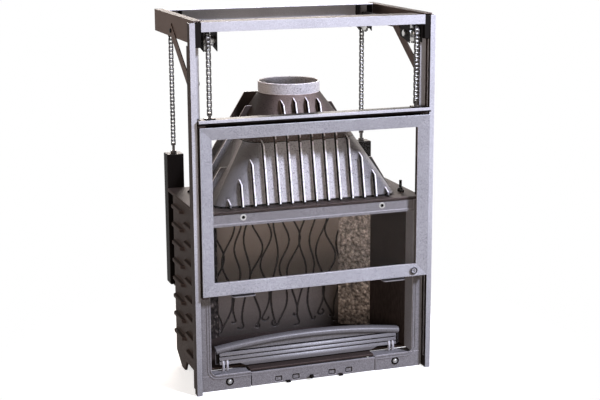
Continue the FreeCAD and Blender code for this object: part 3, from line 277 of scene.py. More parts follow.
# Light and dark name a colour and its share; grain, relief and cloud are in millimetres.
FINISHES = {
    # Satin metallic paint sprayed on folded sheet steel: pale flakes, a fine orange peel, pale edges of wear and
    # painted highlight. Also painted light, as a lighter paint on the rear beam's front and the stiles' reveals.
    "sheet_paint_and_painted_light": dict(
        name="satin_paint_on_sheet_steel", light=("paint", 1.0), dark=("paint_dark", 1.0),
        metallic=0.15, roughness=0.4, grain=1.6, relief=0.05, rim=1.5, sheen=0.08),
    # Matt brown primer on the sheet steel that walls hide once the insert is built in.
    "primer_paint": dict(
        name="brown_primer_on_sheet_steel", light=("primer", 1.1), dark=("primer", 0.8),
        metallic=0.0, roughness=0.6, grain=2.0, relief=0.08, rim=1.6, sheen=0.08),
    # The same paint on the ground face of the cast door frame: fine sparkle of a lightly pitted casting.
    "door_paint": dict(
        name="satin_paint_on_ground_cast_iron", light=("paint", 0.68), dark=("paint_dark", 0.42),
        metallic=0.12, roughness=0.4, grain=2.2, relief=0.12, rim=1.7, sheen=0.08, pits=(0.32, 0.58)),
    # The same paint on sand-cast iron: the sand's grain stands through it, drawn a little coarse so it shows.
    "casting_paint": dict(
        name="satin_paint_on_cast_iron", light=("casting", 1.0), dark=("casting_dark", 1.0),
        metallic=0.08, roughness=0.44, grain=2.6, relief=0.16, rim=1.7, sheen=0.06),
    # Thin paint on the coarse cast hood: speckled, with dark pits of the sand mould.
    "hood_paint": dict(
        name="thin_paint_on_coarse_cast_iron", light=("casting", 1.85), dark=("casting_dark", 0.45),
        metallic=0.08, roughness=0.5, grain=3.4, relief=0.25, rim=2.2, sheen=0.06, pits=(0.3, 0.5)),
    # A darker copy of the hood paint for the hood's neck above the fold: painted shade.
    "shaded_hood_paint": dict(
        name="heat_darkened_cast_iron", light=("primer", 1.1), dark=("primer", 0.45),
        metallic=0.08, roughness=0.5, grain=3.4, relief=0.25, rim=2.2, sheen=0.06, pits=(0.3, 0.5)),
    # The log fender's paint, polished a little by hands and logs: darker and smoother than the front.
    "fender_paint": dict(
        name="rubbed_paint_on_cast_iron", light=("casting", 0.7), dark=("casting_dark", 0.62),
        metallic=0.15, roughness=0.4, grain=2.0, relief=0.06, rim=1.4, sheen=0.2),
    # Bare cast iron smoked by the fire: matt taupe, cloudy.
    "lining_iron": dict(
        name="smoked_cast_iron", light=("lining", 1.15), dark=("lining", 0.85),
        metallic=0.1, roughness=0.62, grain=2.4, relief=0.12, cloud=90.0, sheen=0.2),
    # Bare cast iron with a hammered face: the high spots rub bright.
    "hammered_iron": dict(
        name="hammered_cast_iron", light=("lining", 1.75), dark=("lining", 0.3),
        metallic=0.2, roughness=0.42, grain=11.0, relief=0.5, cloud=60.0, sheen=0.3),
    # Planed cast iron of the side linings: fine upright tool marks in dark brown.
    "brushed_lining": dict(
        name="planed_cast_iron", light=("dark_iron", 1.8), dark=("dark_iron", 0.6),
        metallic=0.1, roughness=0.55, grain=3.0, relief=0.2, stretch=(1.0, 1.0, 0.12), sheen=0.15),
    # Unpainted outer castings: dull brown with an open sand grain. Also painted shade: steel faces turned from the
    # light, the carriage stiles and the guide slot covers.
    "wall_iron_and_painted_shade": dict(
        name="sand_cast_iron", light=("dark_iron", 1.1), dark=("dark_iron", 0.6),
        metallic=0.05, roughness=0.6, grain=3.0, relief=0.25, rim=1.7, sheen=0.04),
    # Oiled link plates: dark, glossy steel with rubbed edges.
    "chain_steel": dict(
        name="oiled_chain_steel", light=("chain", 1.0), dark=("chain", 0.5),
        metallic=0.8, roughness=0.4, grain=1.4, relief=0.03, rim=1.6),
    # Chain rollers and the heads of the front bolts: steel rubbed half bright.
    "roller_steel": dict(
        name="rubbed_roller_steel", light=("bright", 0.5), dark=("bright", 0.3),
        metallic=0.85, roughness=0.36, grain=1.2, relief=0.02),
    # Turned and plated steel of hubs, axles, pins and washers: fine turning marks, bright.
    "bright_steel": dict(
        name="turned_plated_steel", light=("bright", 1.0), dark=("bright", 0.7),
        metallic=0.95, roughness=0.3, grain=1.2, relief=0.02),
    # Black-oxide bolts and black painted brackets: deep black with a soft gloss. Also painted shade, black where
    # faces lie in shade or in gaps.
    "black_steel": dict(
        name="black_oxide_steel", light=("black", 1.0), dark=("black", 0.6),
        metallic=0.05, roughness=0.5, grain=1.8, relief=0.04, rim=2.6, sheen=0.04),
    # Moulded rubber of the door stops and guide shoes: matt black with a fine bloom.
    "stop_rubber": dict(
        name="moulded_rubber", light=("black", 0.8), dark=("black", 0.5),
        metallic=0.0, roughness=0.68, grain=2.2, relief=0.06, sheen=0.1),
    # Woven glass-fibre tape behind the glass: grey threads about 1 mm apart.
    "gasket_cloth": dict(
        name="woven_glass_fibre_tape", light=("lining", 1.1), dark=("lining", 0.5),
        metallic=0.0, roughness=0.85, grain=1.0, relief=0.3, sheen=0.1),
}
made_materials = {}


def finish(key):
    """The material of a finish, made once."""
    if key not in made_materials:
        values = dict(FINISHES[key])
        for tone in ("light", "dark"):
            source, share = values[tone]
            plain = getattr(bpy.context.scene.hearth_colours, source)[:3]
            values[tone] = tuple(min(c * share, 1.0) for c in plain) + (1.0,)
        made_materials[key] = grained(**values)
    return made_materials[key]


def door_glass():
    # Clear glass-ceramic pane: no tint, a weak reflection; light passes through it to the hearth behind.
    material = bpy.data.materials.new("clear_glass_ceramic")
    add = empty_tree(material)
    smear_size = 120.0 * MM
    place = add("ShaderNodeTexCoord").outputs["Object"]
    smear = add("ShaderNodeTexNoise", {"Vector": place, "Scale": 1.0 / smear_size, "Detail": 2.0})
    gloss = add("ShaderNodeMapRange", {"Value": smear, "To Min": 0.0, "To Max": 0.02})
    glass = add("ShaderNodeBsdfPrincipled",
                {"Base Color": (1.0, 1.0, 1.0, 1.0), "Transmission Weight": 1.0, "IOR": 1.15,
                 "Roughness": gloss})
    clear = add("ShaderNodeBsdfTransparent")
    path = add("ShaderNodeLightPath").outputs
    lit = add("ShaderNodeMath", {0: path["Is Shadow Ray"], 1: path["Is Diffuse Ray"]}, operation="MAXIMUM")
    mixed = add("ShaderNodeMixShader", {0: lit, 1: glass, 2: clear})
    add("ShaderNodeOutputMaterial", {"Surface": mixed})
    return material


# Meshes

def clean_copy(node):
    """A welded copy of a CAD node, with its flat faces made whole."""
    made = bmesh.new()
    made.from_mesh(frame["nodes"][node].data)
    bmesh.ops.remove_doubles(made, verts=made.verts[:], dist=WELD)
    bmesh.ops.dissolve_limit(made, angle_limit=FLAT_ANGLE, verts=made.verts[:], edges=made.edges[:])
    return made


def round_edges(made, size, segments=2, sharper_than=EDGE_ANGLE):
    """Rounds the sharp edges and marks the new narrow faces as rims, which the finishes lighten as wear and as
    painted highlight.
    """
    rim = made.faces.layers.float.new("rim")
    edges = [e for e in made.edges if e.is_manifold and e.calc_face_angle(0.0) > sharper_than]
    if edges:
        result = bmesh.ops.bevel(made, geom=edges, offset=size, offset_type="OFFSET", segments=segments,
                                 profile=0.5, affect="EDGES", clamp_overlap=False)
        for face in result["faces"]:
            longest = max(e.calc_length() for e in face.edges)
            if face.calc_area() < 2.0 * size * longest:
                face[rim] = 1.0


def as_mesh(made, name, smooth=SMOOTH_ANGLE):
    mesh = bpy.data.meshes.new(name)
    made.to_mesh(mesh)
    made.free()
    mesh.shade_smooth()
    mesh.set_sharp_from_angle(angle=smooth)
    return mesh


def linked(name, data):
    """A new object of the scene."""
    thing = bpy.data.objects.new(name, data)
    bpy.context.scene.collection.objects.link(thing)
    return thing


def settle(piece):
    """Turns what a piece's modifiers make into its plain mesh."""
    bpy.context.view_layer.update()
    graph = bpy.context.evaluated_depsgraph_get()
    mesh = bpy.data.meshes.new_from_object(piece.evaluated_get(graph), preserve_all_data_layers=True,
                                           depsgraph=graph)
    piece.modifiers.clear()
    piece.data = mesh


def install(piece, body, slot, *nodes):
    """Lets a piece ride on a body and stand for CAD nodes; the material slot is not used."""
    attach(piece, body)
    if nodes:
        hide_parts(*nodes)


def finished(made, name, keys, body, slot, *nodes, smooth=SMOOTH_ANGLE):
    """Makes a shape into an evenly shaded piece with its finishes, and installs it."""
    mesh = as_mesh(made, name, smooth)
    for key in keys:
        mesh.materials.append(finish(key))
    piece = linked(name, mesh)
    piece.modifiers.new("even_shading", "WEIGHTED_NORMAL").keep_sharp = True
    settle(piece)
    install(piece, body, slot, *nodes)
    return piece


def part_faces(made, heights):
    """Parts the faces along level lines, so that a finish can end there."""
    for height in heights:
        bmesh.ops.bisect_plane(made, geom=made.verts[:] + made.edges[:] + made.faces[:], dist=WELD,
                               plane_co=(0.0, 0.0, height), plane_no=(0.0, 0.0, 1.0))


def dress(node, key, edge, segments=2, second=None, chosen=None, smooth=SMOOTH_ANGLE, heights=()):
    """Replaces a CAD node by the same shape with rounded, worn edges; chosen faces get a second finish."""
    made = clean_copy(node)
    part_faces(made, heights)
    round_edges(made, edge, segments)
    keys = [key]
    if second:
        keys.append(second)
        for face in made.faces:
            face.material_index = int(chosen(face.calc_center_median(), face.normal))
    return finished(made, node + "_finished", keys, BODY_OF[node], SLOT_OF[node], node, smooth=smooth)


def skin(made, rings, closed=False, index=0):
    """Adds a tube through rings of points: closed on itself, or else with a face at each end."""
    rings = [[made.verts.new(point) for point in ring] for ring in rings]
    faces = []
    pairs = list(zip(rings, rings[1:]))
    if closed:
        pairs.append((rings[-1], rings[0]))
    else:
        faces = [made.faces.new(rings[0]), made.faces.new(rings[-1])]
    for one, two in pairs:
        for i in range(len(one)):
            j = (i + 1) % len(one)
            faces.append(made.faces.new((one[i], one[j], two[j], two[i])))
    bmesh.ops.recalc_face_normals(made, faces=faces)
    for face in faces:
        face.material_index = index


def add_prism(made, outline, axis, start, end, index=0):
    """Adds a closed prism: an outline of two coordinates drawn along an axis, 0 for X, 1 for Y, 2 for Z."""
    skin(made, [[(*spot[:axis], along, *spot[axis:]) for spot in outline] for along in (start, end)],
         index=index)


def add_sweep(made, path, across, outline, index=0):
    """Adds a closed tube: an outline swept along points, each with its own pair of axes."""
    skin(made, [[point + first * a + second * b for a, b in outline]
                for point, (first, second) in zip(path, across)], index=index)


def add_ring(made, centre, inner, outer, depth, steps=36):
    """Adds a flat ring that faces the front, with its back at a centre point."""
    rings = []
    for k in range(steps):
        turn = 2.0 * math.pi * k / steps
        out = Vector((math.cos(turn), 0.0, math.sin(turn)))
        rings.append([centre + out * r + Vector((0.0, y, 0.0))
                      for r, y in ((inner, 0.0), (outer, 0.0), (outer, -depth), (inner, -depth))])
    skin(made, rings, closed=True)


def rectangle(a_low, a_high, b_low, b_high):
    return [(a_low, b_low), (a_high, b_low), (a_high, b_high), (a_low, b_high)]


def relief_slab(corner, along, up, depth, cell, relief):
    """A closed slab whose front is a grid sunk by relief(u, v), which gives a depth and a share of darkening,
    mostly painted shade.
    """
    made = bmesh.new()
    groove = made.verts.layers.float.new("groove")
    columns = int(along.length / cell)
    rows = int(up.length / cell)
    back = along.cross(up).normalized()
    if back.dot(depth) < 0.0:
        back = -back
    grid = []
    for row in range(rows + 1):
        line = []
        for column in range(columns + 1):
            sink, darken = relief(along.length * column / columns, up.length * row / rows)
            vert = made.verts.new(corner + along * (column / columns) + up * (row / rows) + back * sink)
            vert[groove] = darken
            line.append(vert)
        grid.append(line)
    for one, two in zip(grid, grid[1:]):
        for column in range(columns):
            made.faces.new((one[column], one[column + 1], two[column + 1], two[column]))
    border = grid[0][:-1] + [line[-1] for line in grid[:-1]]
    border += grid[-1][:0:-1] + [line[0] for line in grid[:0:-1]]
    normal = depth.normalized()
    rear = []
    for vert in border:
        reach = depth.length - (vert.co - corner).dot(normal)
        rear.append(made.verts.new(vert.co + normal * reach))
    for i in range(len(border)):
        j = (i + 1) % len(border)
        made.faces.new((border[j], border[i], rear[i], rear[j]))
    made.faces.new(rear)
    bmesh.ops.recalc_face_normals(made, faces=made.faces[:])
    return made


def add_window_rim(made, centre, half_width, half_height, width, depth):
    """Adds a rounded rectangular ring that lies in a window, behind a centre point on the face."""
    corner = 4.0 * MM
    least = 0.5 * MM
    behind = 0.2 * MM
    steps = 6
    rings = []
    for quarter, (across, up) in enumerate(((1.0, 1.0), (-1.0, 1.0), (-1.0, -1.0), (1.0, -1.0))):
        for k in range(steps + 1):
            turn = RIGHT_ANGLE * (quarter + k / steps)
            ring = []
            for inset, y in ((width, behind), (0.0, behind), (0.0, depth), (width, depth)):
                reach = max(corner - inset, least)
                x = across * (half_width - inset - reach) + reach * math.cos(turn)
                z = up * (half_height - inset - reach) + reach * math.sin(turn)
                ring.append(centre + Vector((x, y, z)))
            rings.append(ring)
    skin(made, rings, closed=True)


# Geometry Nodes

def geometry_tree(name, sizes):
    """A Geometry Nodes tree with a named input for each size, what adds its nodes, and its inputs."""
    tree = bpy.data.node_groups.new(name, "GeometryNodeTree")
    for way in ("INPUT", "OUTPUT"):
        tree.interface.new_socket("Geometry", in_out=way, socket_type="NodeSocketGeometry")
    for key, value in sizes.items():
        kind = "NodeSocketInt" if isinstance(value, int) else "NodeSocketFloat"
        tree.interface.new_socket(key, in_out="INPUT", socket_type=kind).default_value = value
    add = partial(add_node, tree)
    return tree, add, add("NodeGroupInput").outputs


def chain_tree(chain, plates, rollers):
    """Geometry Nodes that set inner and outer links on the edges of a line of pins."""
    names = ("pitch", "roller", "inner_width", "plate", "inner_plate", "outer_plate", "pin")
    tree, add, size = geometry_tree("roller_chain", {key: getattr(chain, key) for key in names})
    # From inner to outer plate, and what a pin adds to the span of the outer ones, in plate thicknesses.
    plate_step = 1.12
    pin_ends = 2.2

    def rod(radius, depth, x, y):
        bar = add("GeometryNodeMeshCylinder", {"Vertices": 10, "Radius": radius, "Depth": depth})
        spot = add("ShaderNodeCombineXYZ", {"X": x, "Y": y})
        return add("GeometryNodeTransform",
                   {"Geometry": bar, "Translation": spot, "Rotation": (0.0, RIGHT_ANGLE, 0.0)})

    half_pitch = add("ShaderNodeMath", {0: size["pitch"], 1: 0.5}, operation="MULTIPLY")
    ends = (half_pitch, add("ShaderNodeMath", {0: half_pitch, 1: -1.0}, operation="MULTIPLY"))
    inner_span = add("ShaderNodeMath", {0: size["inner_width"], 1: size["plate"]}, operation="ADD")
    inner_x = add("ShaderNodeMath", {0: inner_span, 1: 0.5}, operation="MULTIPLY")
    outer_x = add("ShaderNodeMath", {0: size["plate"], 1: plate_step, 2: inner_x}, operation="MULTIPLY_ADD")
    outer_span = add("ShaderNodeMath", {0: outer_x, 1: 2.0}, operation="MULTIPLY")
    pin_length = add("ShaderNodeMath", {0: size["plate"], 1: pin_ends, 2: outer_span},
                     operation="MULTIPLY_ADD")

    def plates_at(x, radius):
        pair = []
        for hand in HANDS.values():
            reach = add("ShaderNodeMath", {0: x, 1: -hand}, operation="MULTIPLY")
            rods = add("GeometryNodeJoinGeometry",
                       {"Geometry": [rod(radius, size["plate"], reach, y) for y in ends]})
            pair.append(add("GeometryNodeConvexHull", {"Geometry": rods}))
        return pair

    barrels = [add("GeometryNodeStoreNamedAttribute",
                   {"Geometry": rod(size["roller"], size["inner_width"], 0.0, y), "Name": "roller",
                    "Value": True}, data_type="BOOLEAN", domain="FACE") for y in ends]
    pins = [rod(size["pin"], pin_length, 0.0, y) for y in ends]
    inner = add("GeometryNodeJoinGeometry",
                {"Geometry": plates_at(inner_x, size["inner_plate"]) + barrels})
    outer = add("GeometryNodeJoinGeometry",
                {"Geometry": plates_at(outer_x, size["outer_plate"]) + pins})
    points = add("GeometryNodeMeshToPoints", {"Mesh": size["Geometry"]}, mode="EDGES")
    turn = add("GeometryNodeInputNamedAttribute", {"Name": "turn"}, data_type="FLOAT")
    turned = add("ShaderNodeCombineXYZ", {"X": turn})
    turned = add("FunctionNodeEulerToRotation", {"Euler": turned})
    kind = add("GeometryNodeInputNamedAttribute", {"Name": "outer"}, data_type="BOOLEAN")
    other = add("FunctionNodeBooleanMath", {0: kind}, operation="NOT")
    rows = [add("GeometryNodeInstanceOnPoints",
                {"Points": points, "Selection": chosen, "Instance": shape, "Rotation": turned})
            for shape, chosen in ((outer, kind), (inner, other))]
    links = add("GeometryNodeJoinGeometry", {"Geometry": rows})
    real = add("GeometryNodeRealizeInstances", {"Geometry": links})
    painted = add("GeometryNodeSetMaterial", {"Geometry": real, "Material": plates})
    barrel = add("GeometryNodeInputNamedAttribute", {"Name": "roller"}, data_type="BOOLEAN")
    painted = add("GeometryNodeSetMaterial", {"Geometry": painted, "Selection": barrel, "Material": rollers})
    add("NodeGroupOutput", {"Geometry": painted})
    return tree


def chain_pins(chain, side):
    """The pins of one chain in order, from the carriage up, over both wheels and down to the weight."""
    front = middle_of(f"{side}_front_sprocket")
    rear = middle_of(f"{side}_rear_sprocket")
    step = RIGHT_ANGLE / chain.wrap_links
    radius = chain.pitch / (2.0 * math.sin(step / 2.0))

    def wrapped(wheel, first):
        turns = [first - step * k for k in range(chain.wrap_links)]
        return [(wheel.y + radius * math.cos(turn), wheel.z + radius * math.sin(turn)) for turn in turns]

    pins = [(front.y - radius, front.z - k * chain.pitch) for k in range(chain.front_links, 0, -1)]
    pins += wrapped(front, math.pi)
    pins += [(front.y + k * chain.pitch, front.z + radius) for k in range(chain.top_links)]
    pins += wrapped(rear, RIGHT_ANGLE)
    pins += [(rear.y + radius, rear.z - k * chain.pitch) for k in range(chain.rear_links + 1)]
    x = middle_of(f"{side}_counterweight").x
    return [Vector((x, y, z)) for y, z in pins]


# Operators, one for each group of pieces

class HEARTH_OT_frame(bpy.types.Operator):
    """Folded steel uprights, top tray, beams, braces and door stops"""
    bl_idname = "hearth.frame"
    bl_label = "Steel frame"

    def execute(self, context):
        edges = context.scene.hearth_edges
        # Painted shade: the uprights grow darker towards the bottom, below the lintel's top.
        shade_top = high("front_lintel").z
        shade_share = 0.5
        # Painted shade: the beam's top and bottom, the uprights' sides and the tops of the channels and braces
        # take the dark iron finish.
        dress("front_beam", "sheet_paint_and_painted_light", edges.sheet, 2, "wall_iron_and_painted_shade",
              lambda spot, normal: abs(normal.z) > FACING)
        for side in HANDS:
            piece = dress(f"{side}_upright", "sheet_paint_and_painted_light", edges.sheet, 2, "wall_iron_and_painted_shade",
                          lambda spot, normal: abs(normal.x) > FACING, heights=(shade_top,))
            darken = piece.data.attributes.new("groove", "FLOAT", "POINT")
            for vert in piece.data.vertices:
                darken.data[vert.index].value = shade_share * max(0.0, 1.0 - vert.co.z / shade_top)
        for node in ("left_side_channel", "right_side_channel", "tray_braces"):
            dress(node, "primer_paint", edges.sheet, 2, "wall_iron_and_painted_shade", lambda spot, normal: normal.z > FACING)
        # Painted light: the rear beam's front-facing faces take the lighter sheet paint.
        dress("rear_beam", "casting_paint", edges.sheet, 2, "sheet_paint_and_painted_light",
              lambda spot, normal: normal.y < -FACING)
        dress("door_stops", "stop_rubber", edges.rough)
        # Covers inside the uprights close the guide slots; their dark finish is painted shade, so that the slots
        # look dark.
        start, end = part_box("right_upright")
        cover = 2.0 * MM
        inner = end.x - 6.5 * MM
        front = start.y + 3.2 * MM
        rear = end.y - 4.0 * MM
        end_gap = 8.0 * MM
        made = bmesh.new()
        for hand in HANDS.values():
            add_prism(made, rectangle(hand * inner, hand * (inner + cover), front, rear), 2,
                      start.z + end_gap, low("right_side_channel").z - end_gap)
        round_edges(made, edges.sheet)
        finished(made, "guide_slot_covers", ["wall_iron_and_painted_shade"], "frame", "painted_steel")
        return {"FINISHED"}


class HEARTH_OT_wheels(bpy.types.Operator):
    """Chain wheels with their brackets and axles"""
    bl_idname = "hearth.wheels"
    bl_label = "Chain wheels"

    def execute(self, context):
        edges = context.scene.hearth_edges
        hub = 17.0 * MM
        for side in HANDS:
            for place in ("front", "rear"):
                node = f"{side}_{place}_sprocket"
                dress(node, "chain_steel", edges.small, 1, "bright_steel",
                      lambda spot, normal, at=middle_of(node): math.hypot(spot.y - at.y, spot.z - at.z) < hub)
        dress("sprocket_brackets", "black_steel", edges.sheet)
        dress("sprocket_axles", "bright_steel", edges.sheet)
        return {"FINISHED"}


class HEARTH_OT_chains(bpy.types.Operator):
    """Two roller chains, each from the door over its wheels to a counterweight"""
    bl_idname = "hearth.chains"
    bl_label = "Roller chains"

    def execute(self, context):
        chain = context.scene.hearth_chain
        tree = chain_tree(chain, finish("chain_steel"), finish("roller_steel"))
        first = chain.front_links
        last = first + 2 * chain.wrap_links + chain.top_links
        total = last + chain.rear_links
        pins = {side: chain_pins(chain, side) for side in HANDS}
        wheel_z = middle_of("left_front_sprocket").z

        def run(name, sides, start, end):
            points = []
            links = []
            for side in sides:
                links += [(len(points) + i - start, i % 2 == 0) for i in range(start, end)]
                points += pins[side][start:end + 1]
            mesh = bpy.data.meshes.new(name)
            mesh.from_pydata(points, [(i, i + 1) for i, _ in links], [])
            turns = mesh.attributes.new("turn", "FLOAT", "EDGE")
            kinds = mesh.attributes.new("outer", "BOOLEAN", "EDGE")
            for k, (i, outer) in enumerate(links):
                step = points[i + 1] - points[i]
                turns.data[k].value = math.atan2(step.z, step.y)
                kinds.data[k].value = outer
            piece = linked(name, mesh)
            piece.modifiers.new("links", "NODES").node_group = tree
            settle(piece)
            piece.data.shade_smooth()
            piece.data.set_sharp_from_angle(angle=SMOOTH_ANGLE)
            return piece

        front = run("front_chain_links", HANDS, 0, first)
        carriage_z = pins["left"][0].z
        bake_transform(front, "frame", "carriage", start=(0, 0, wheel_z), end=(0, 0, carriage_z))
        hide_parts("front_chain_strands")
        top = run("top_chain_links", HANDS, first, last)
        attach(top, "frame")
        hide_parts("top_chain_runs")
        for side in HANDS:
            rear = run(f"{side}_rear_chain_links", (side,), last, total)
            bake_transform(rear, "frame", f"{side}_weight", start=(0, 0, wheel_z), end=(0, 0, pins[side][total].z))
            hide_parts("rear_chain_strands")
        return {"FINISHED"}


class HEARTH_OT_weights(bpy.types.Operator):
    """Counterweights and their rods"""
    bl_idname = "hearth.weights"
    bl_label = "Counterweights"

    def execute(self, context):
        edges = context.scene.hearth_edges
        for side in HANDS:
            dress(f"{side}_counterweight", "black_steel", edges.rough, 3)
            dress(f"{side}_counterweight_rod", "chain_steel", edges.small, 1)
        return {"FINISHED"}


class HEARTH_OT_door(bpy.types.Operator):
    """Bevelled cast door frame, its glass, gasket, clips, finger tabs and lock"""
    bl_idname = "hearth.door"
    bl_label = "Glazed door"

    def execute(self, context):
        edges = context.scene.hearth_edges
        edge_on = 0.3
        # Painted shade: the frame's edge faces, outside and round the glass, are black.
        dress("door_frame", "door_paint", edges.sheet, 2, "black_steel",
              lambda spot, normal: abs(normal.y) < edge_on, smooth=math.radians(5.0))
        # Painted shadow: the tops of the tabs are black.
        dress("lift_tabs", "casting_paint", edges.sheet, 2, "black_steel",
              lambda spot, normal: normal.z > 0.5)
        dress("glass_clips", "black_steel", edges.small, 1)
        dress("door_lock", "door_paint", edges.small)
        start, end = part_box("door_lock")
        outer = 12.0 * MM
        inner = outer - 3.2 * MM
        bar_half_width = 1.3 * MM
        bar_half_height = 5.0 * MM
        centre = Vector(((start.x + end.x) / 2.0, start.y, end.z - outer))
        made = bmesh.new()
        add_ring(made, centre, inner, outer, depth=1.0 * MM)
        add_prism(made, rectangle(centre.x - bar_half_width, centre.x + bar_half_width,
                                  centre.z - bar_half_height, centre.z + bar_half_height),
                  1, start.y - 0.6 * MM, start.y)
        round_edges(made, 0.3 * MM, 1)
        finished(made, "lock_ring", ["black_steel"], "lock", "black_steel")
        gasket = frame["nodes"]["glass_gasket"].data.materials
        gasket.clear()
        gasket.append(finish("gasket_cloth"))
        made = clean_copy("glass_pane")
        round_edges(made, edges.small, 1)
        pane = linked("glass_pane_finished", as_mesh(made, "glass_pane"))
        pane.data.materials.append(door_glass())
        install(pane, "glazed_door", "door_glass", "glass_pane")
        return {"FINISHED"}


class HEARTH_OT_carriage(bpy.types.Operator):
    """Carriage that runs in the uprights and carries the door"""
    bl_idname = "hearth.carriage"
    bl_label = "Door carriage"

    def execute(self, context):
        edges = context.scene.hearth_edges
        # Painted shade: the stiles, between the uprights and the door, take the dark iron finish.
        dress("carriage_stiles", "wall_iron_and_painted_shade", edges.sheet)
        dress("carriage_bottom_rail", "sheet_paint_and_painted_light", edges.sheet)
        # Painted shadow: the rail's top faces and its front below the top 9.5 mm are black.
        shade_band = high("carriage_top_rail").z - 9.5 * MM
        dress("carriage_top_rail", "sheet_paint_and_painted_light", edges.sheet, 2, "black_steel",
              lambda spot, normal: normal.z > FACING or spot.z < shade_band, heights=(shade_band,))
        for node in ("hinge_pins", "lock_keeper"):
            dress(node, "bright_steel", edges.small, 1)
        dress("chain_anchors", "chain_steel", edges.small, 1)
        dress("guide_shoes", "stop_rubber", edges.sheet)
        return {"FINISHED"}


class HEARTH_OT_fixed_front(bpy.types.Operator):
    """Lintel, stiles and corner blocks of the firebox, with the bead round its mouth"""
    bl_idname = "hearth.fixed_front"
    bl_label = "Fixed front"

    def execute(self, context):
        edges = context.scene.hearth_edges
        shade_band = 1.5 * MM
        lintel_low, lintel_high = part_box("front_lintel")
        # Painted shade: a thin black band along the top of the lintel's front, under the top plate.
        dress("front_lintel", "casting_paint", edges.casting, 3, "black_steel",
              lambda spot, normal: spot.z > lintel_high.z - shade_band and normal.y < -0.1)
        for side in HANDS:
            # Painted light: the stiles' faces towards the mouth take the lighter sheet paint.
            dress(f"{side}_front_stile", "casting_paint", edges.casting, 3, "sheet_paint_and_painted_light",
                  lambda spot, normal: abs(normal.x) > FACING and spot.x * normal.x < 0.0)
            # Painted shade: the faces of the corner blocks towards the drawer are black.
            node = f"{side}_corner_block"
            dress(node, "casting_paint", edges.casting, 3, "black_steel",
                  lambda spot, normal, inner=nearest_x(node) + shade_band: abs(spot.x) < inner)
        face = lintel_low.y
        bottom = lintel_low.z
        half = lintel_high.x
        proud = 2.4 * MM
        lip = 11.0 * MM
        made = bmesh.new()
        add_prism(made, [(face - proud, bottom), (face, bottom), (face, bottom + lip),
                         (face - proud, bottom + lip - proud)], 0, -half, half)
        round_edges(made, 0.6 * MM)
        finished(made, "lintel_lip", ["casting_paint"], "frame", "painted_casting")
        block_top = low("left_front_stile").z
        bead_end = max(low("right_corner_block").x, high("drawer_front").x)
        bend = 22.0 * MM
        width = 4.0 * MM
        steps = 12
        outline = [(-width / 2.0, 0.0), (width / 2.0, 0.0), (width / 2.0, 0.7 * proud), (width / 4.0, proud),
                   (-width / 4.0, proud), (-width / 2.0, 0.7 * proud)]
        ahead = Vector((0, -1, 0))
        made = bmesh.new()
        for offset in (4.0 * MM, 13.0 * MM):
            for hand in HANDS.values():
                line_x = half + offset
                line_z = block_top - offset
                reach = bend + offset
                centre = Vector((hand * (line_x - reach), face, line_z + reach))
                path = [Vector((hand * line_x, face, bottom))]
                across = [(Vector((hand, 0, 0)), ahead)]
                for k in range(steps + 1):
                    turn = RIGHT_ANGLE * k / steps
                    out = Vector((hand * math.cos(turn), 0.0, -math.sin(turn)))
                    path.append(centre + out * reach)
                    across.append((out, ahead))
                path.append(Vector((hand * bead_end, face, line_z)))
                across.append((Vector((0, 0, -1)), ahead))
                add_sweep(made, path, across, outline)
        finished(made, "mouth_bead", ["casting_paint"], "frame", "painted_casting")
        return {"FINISHED"}


class HEARTH_OT_drawer(bpy.types.Operator):
    """Ash drawer: its front with air windows, the pan, and the sliding register with its knob"""
    bl_idname = "hearth.drawer"
    bl_label = "Ash drawer"

    def execute(self, context):
        edges = context.scene.hearth_edges
        start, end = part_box("drawer_front")
        face = low("front_lintel").y
        shade_band = end.x - 1.4 * MM
        tab_front = face - 0.5 * MM
        # The pull tabs are black; the ends of the front are black as painted shade in the gaps beside the corner
        # blocks.
        dress("drawer_front", "casting_paint", 1.2 * MM, 1, "black_steel",
              lambda spot, normal: spot.y < tab_front or abs(spot.x) > shade_band)
        dress("ash_pan", "black_steel", edges.small, 1)
        dress("air_register", "casting_paint", edges.small, 1)
        dress("register_knob", "black_steel", edges.small, 1)
        window_z = 17.0 * MM
        # Black rings in the air windows: painted shade on the windows' walls.
        made = bmesh.new()
        for window_x in (-127.5, -65.5, 65.5, 127.5):
            add_window_rim(made, Vector((window_x * MM, face, window_z)), half_width=12.8 * MM,
                           half_height=8.8 * MM, width=2.4 * MM, depth=2.1 * MM)
        round_edges(made, 0.3 * MM, 1)
        finished(made, "air_window_rims", ["black_steel"], "ash_drawer", "black_steel")
        step = 6.0 * MM
        proud = 1.6 * MM
        made = bmesh.new()
        add_prism(made, [(face - proud, end.z - step), (face, end.z - step), (face, end.z),
                         (face - proud / 2.0, end.z)], 0, start.x, end.x)
        round_edges(made, 0.5 * MM)
        finished(made, "drawer_top_step", ["casting_paint"], "ash_drawer", "painted_casting")
        return {"FINISHED"}


class HEARTH_OT_firebox(bpy.types.Operator):
    """Outer walls, side linings, hearth, grate, baffle and top plate"""
    bl_idname = "hearth.firebox"
    bl_label = "Firebox castings"

    def execute(self, context):
        edges = context.scene.hearth_edges
        for node in ("left_side_wall", "right_side_wall", "back_wall", "hearth_plate", "ash_grate",
                     "smoke_baffle"):
            dress(node, "wall_iron_and_painted_shade", edges.rough)
        for side in HANDS:
            dress(f"{side}_side_lining", "brushed_lining", edges.casting)
        dress("top_plate", "wall_iron_and_painted_shade", edges.rough)
        return {"FINISHED"}


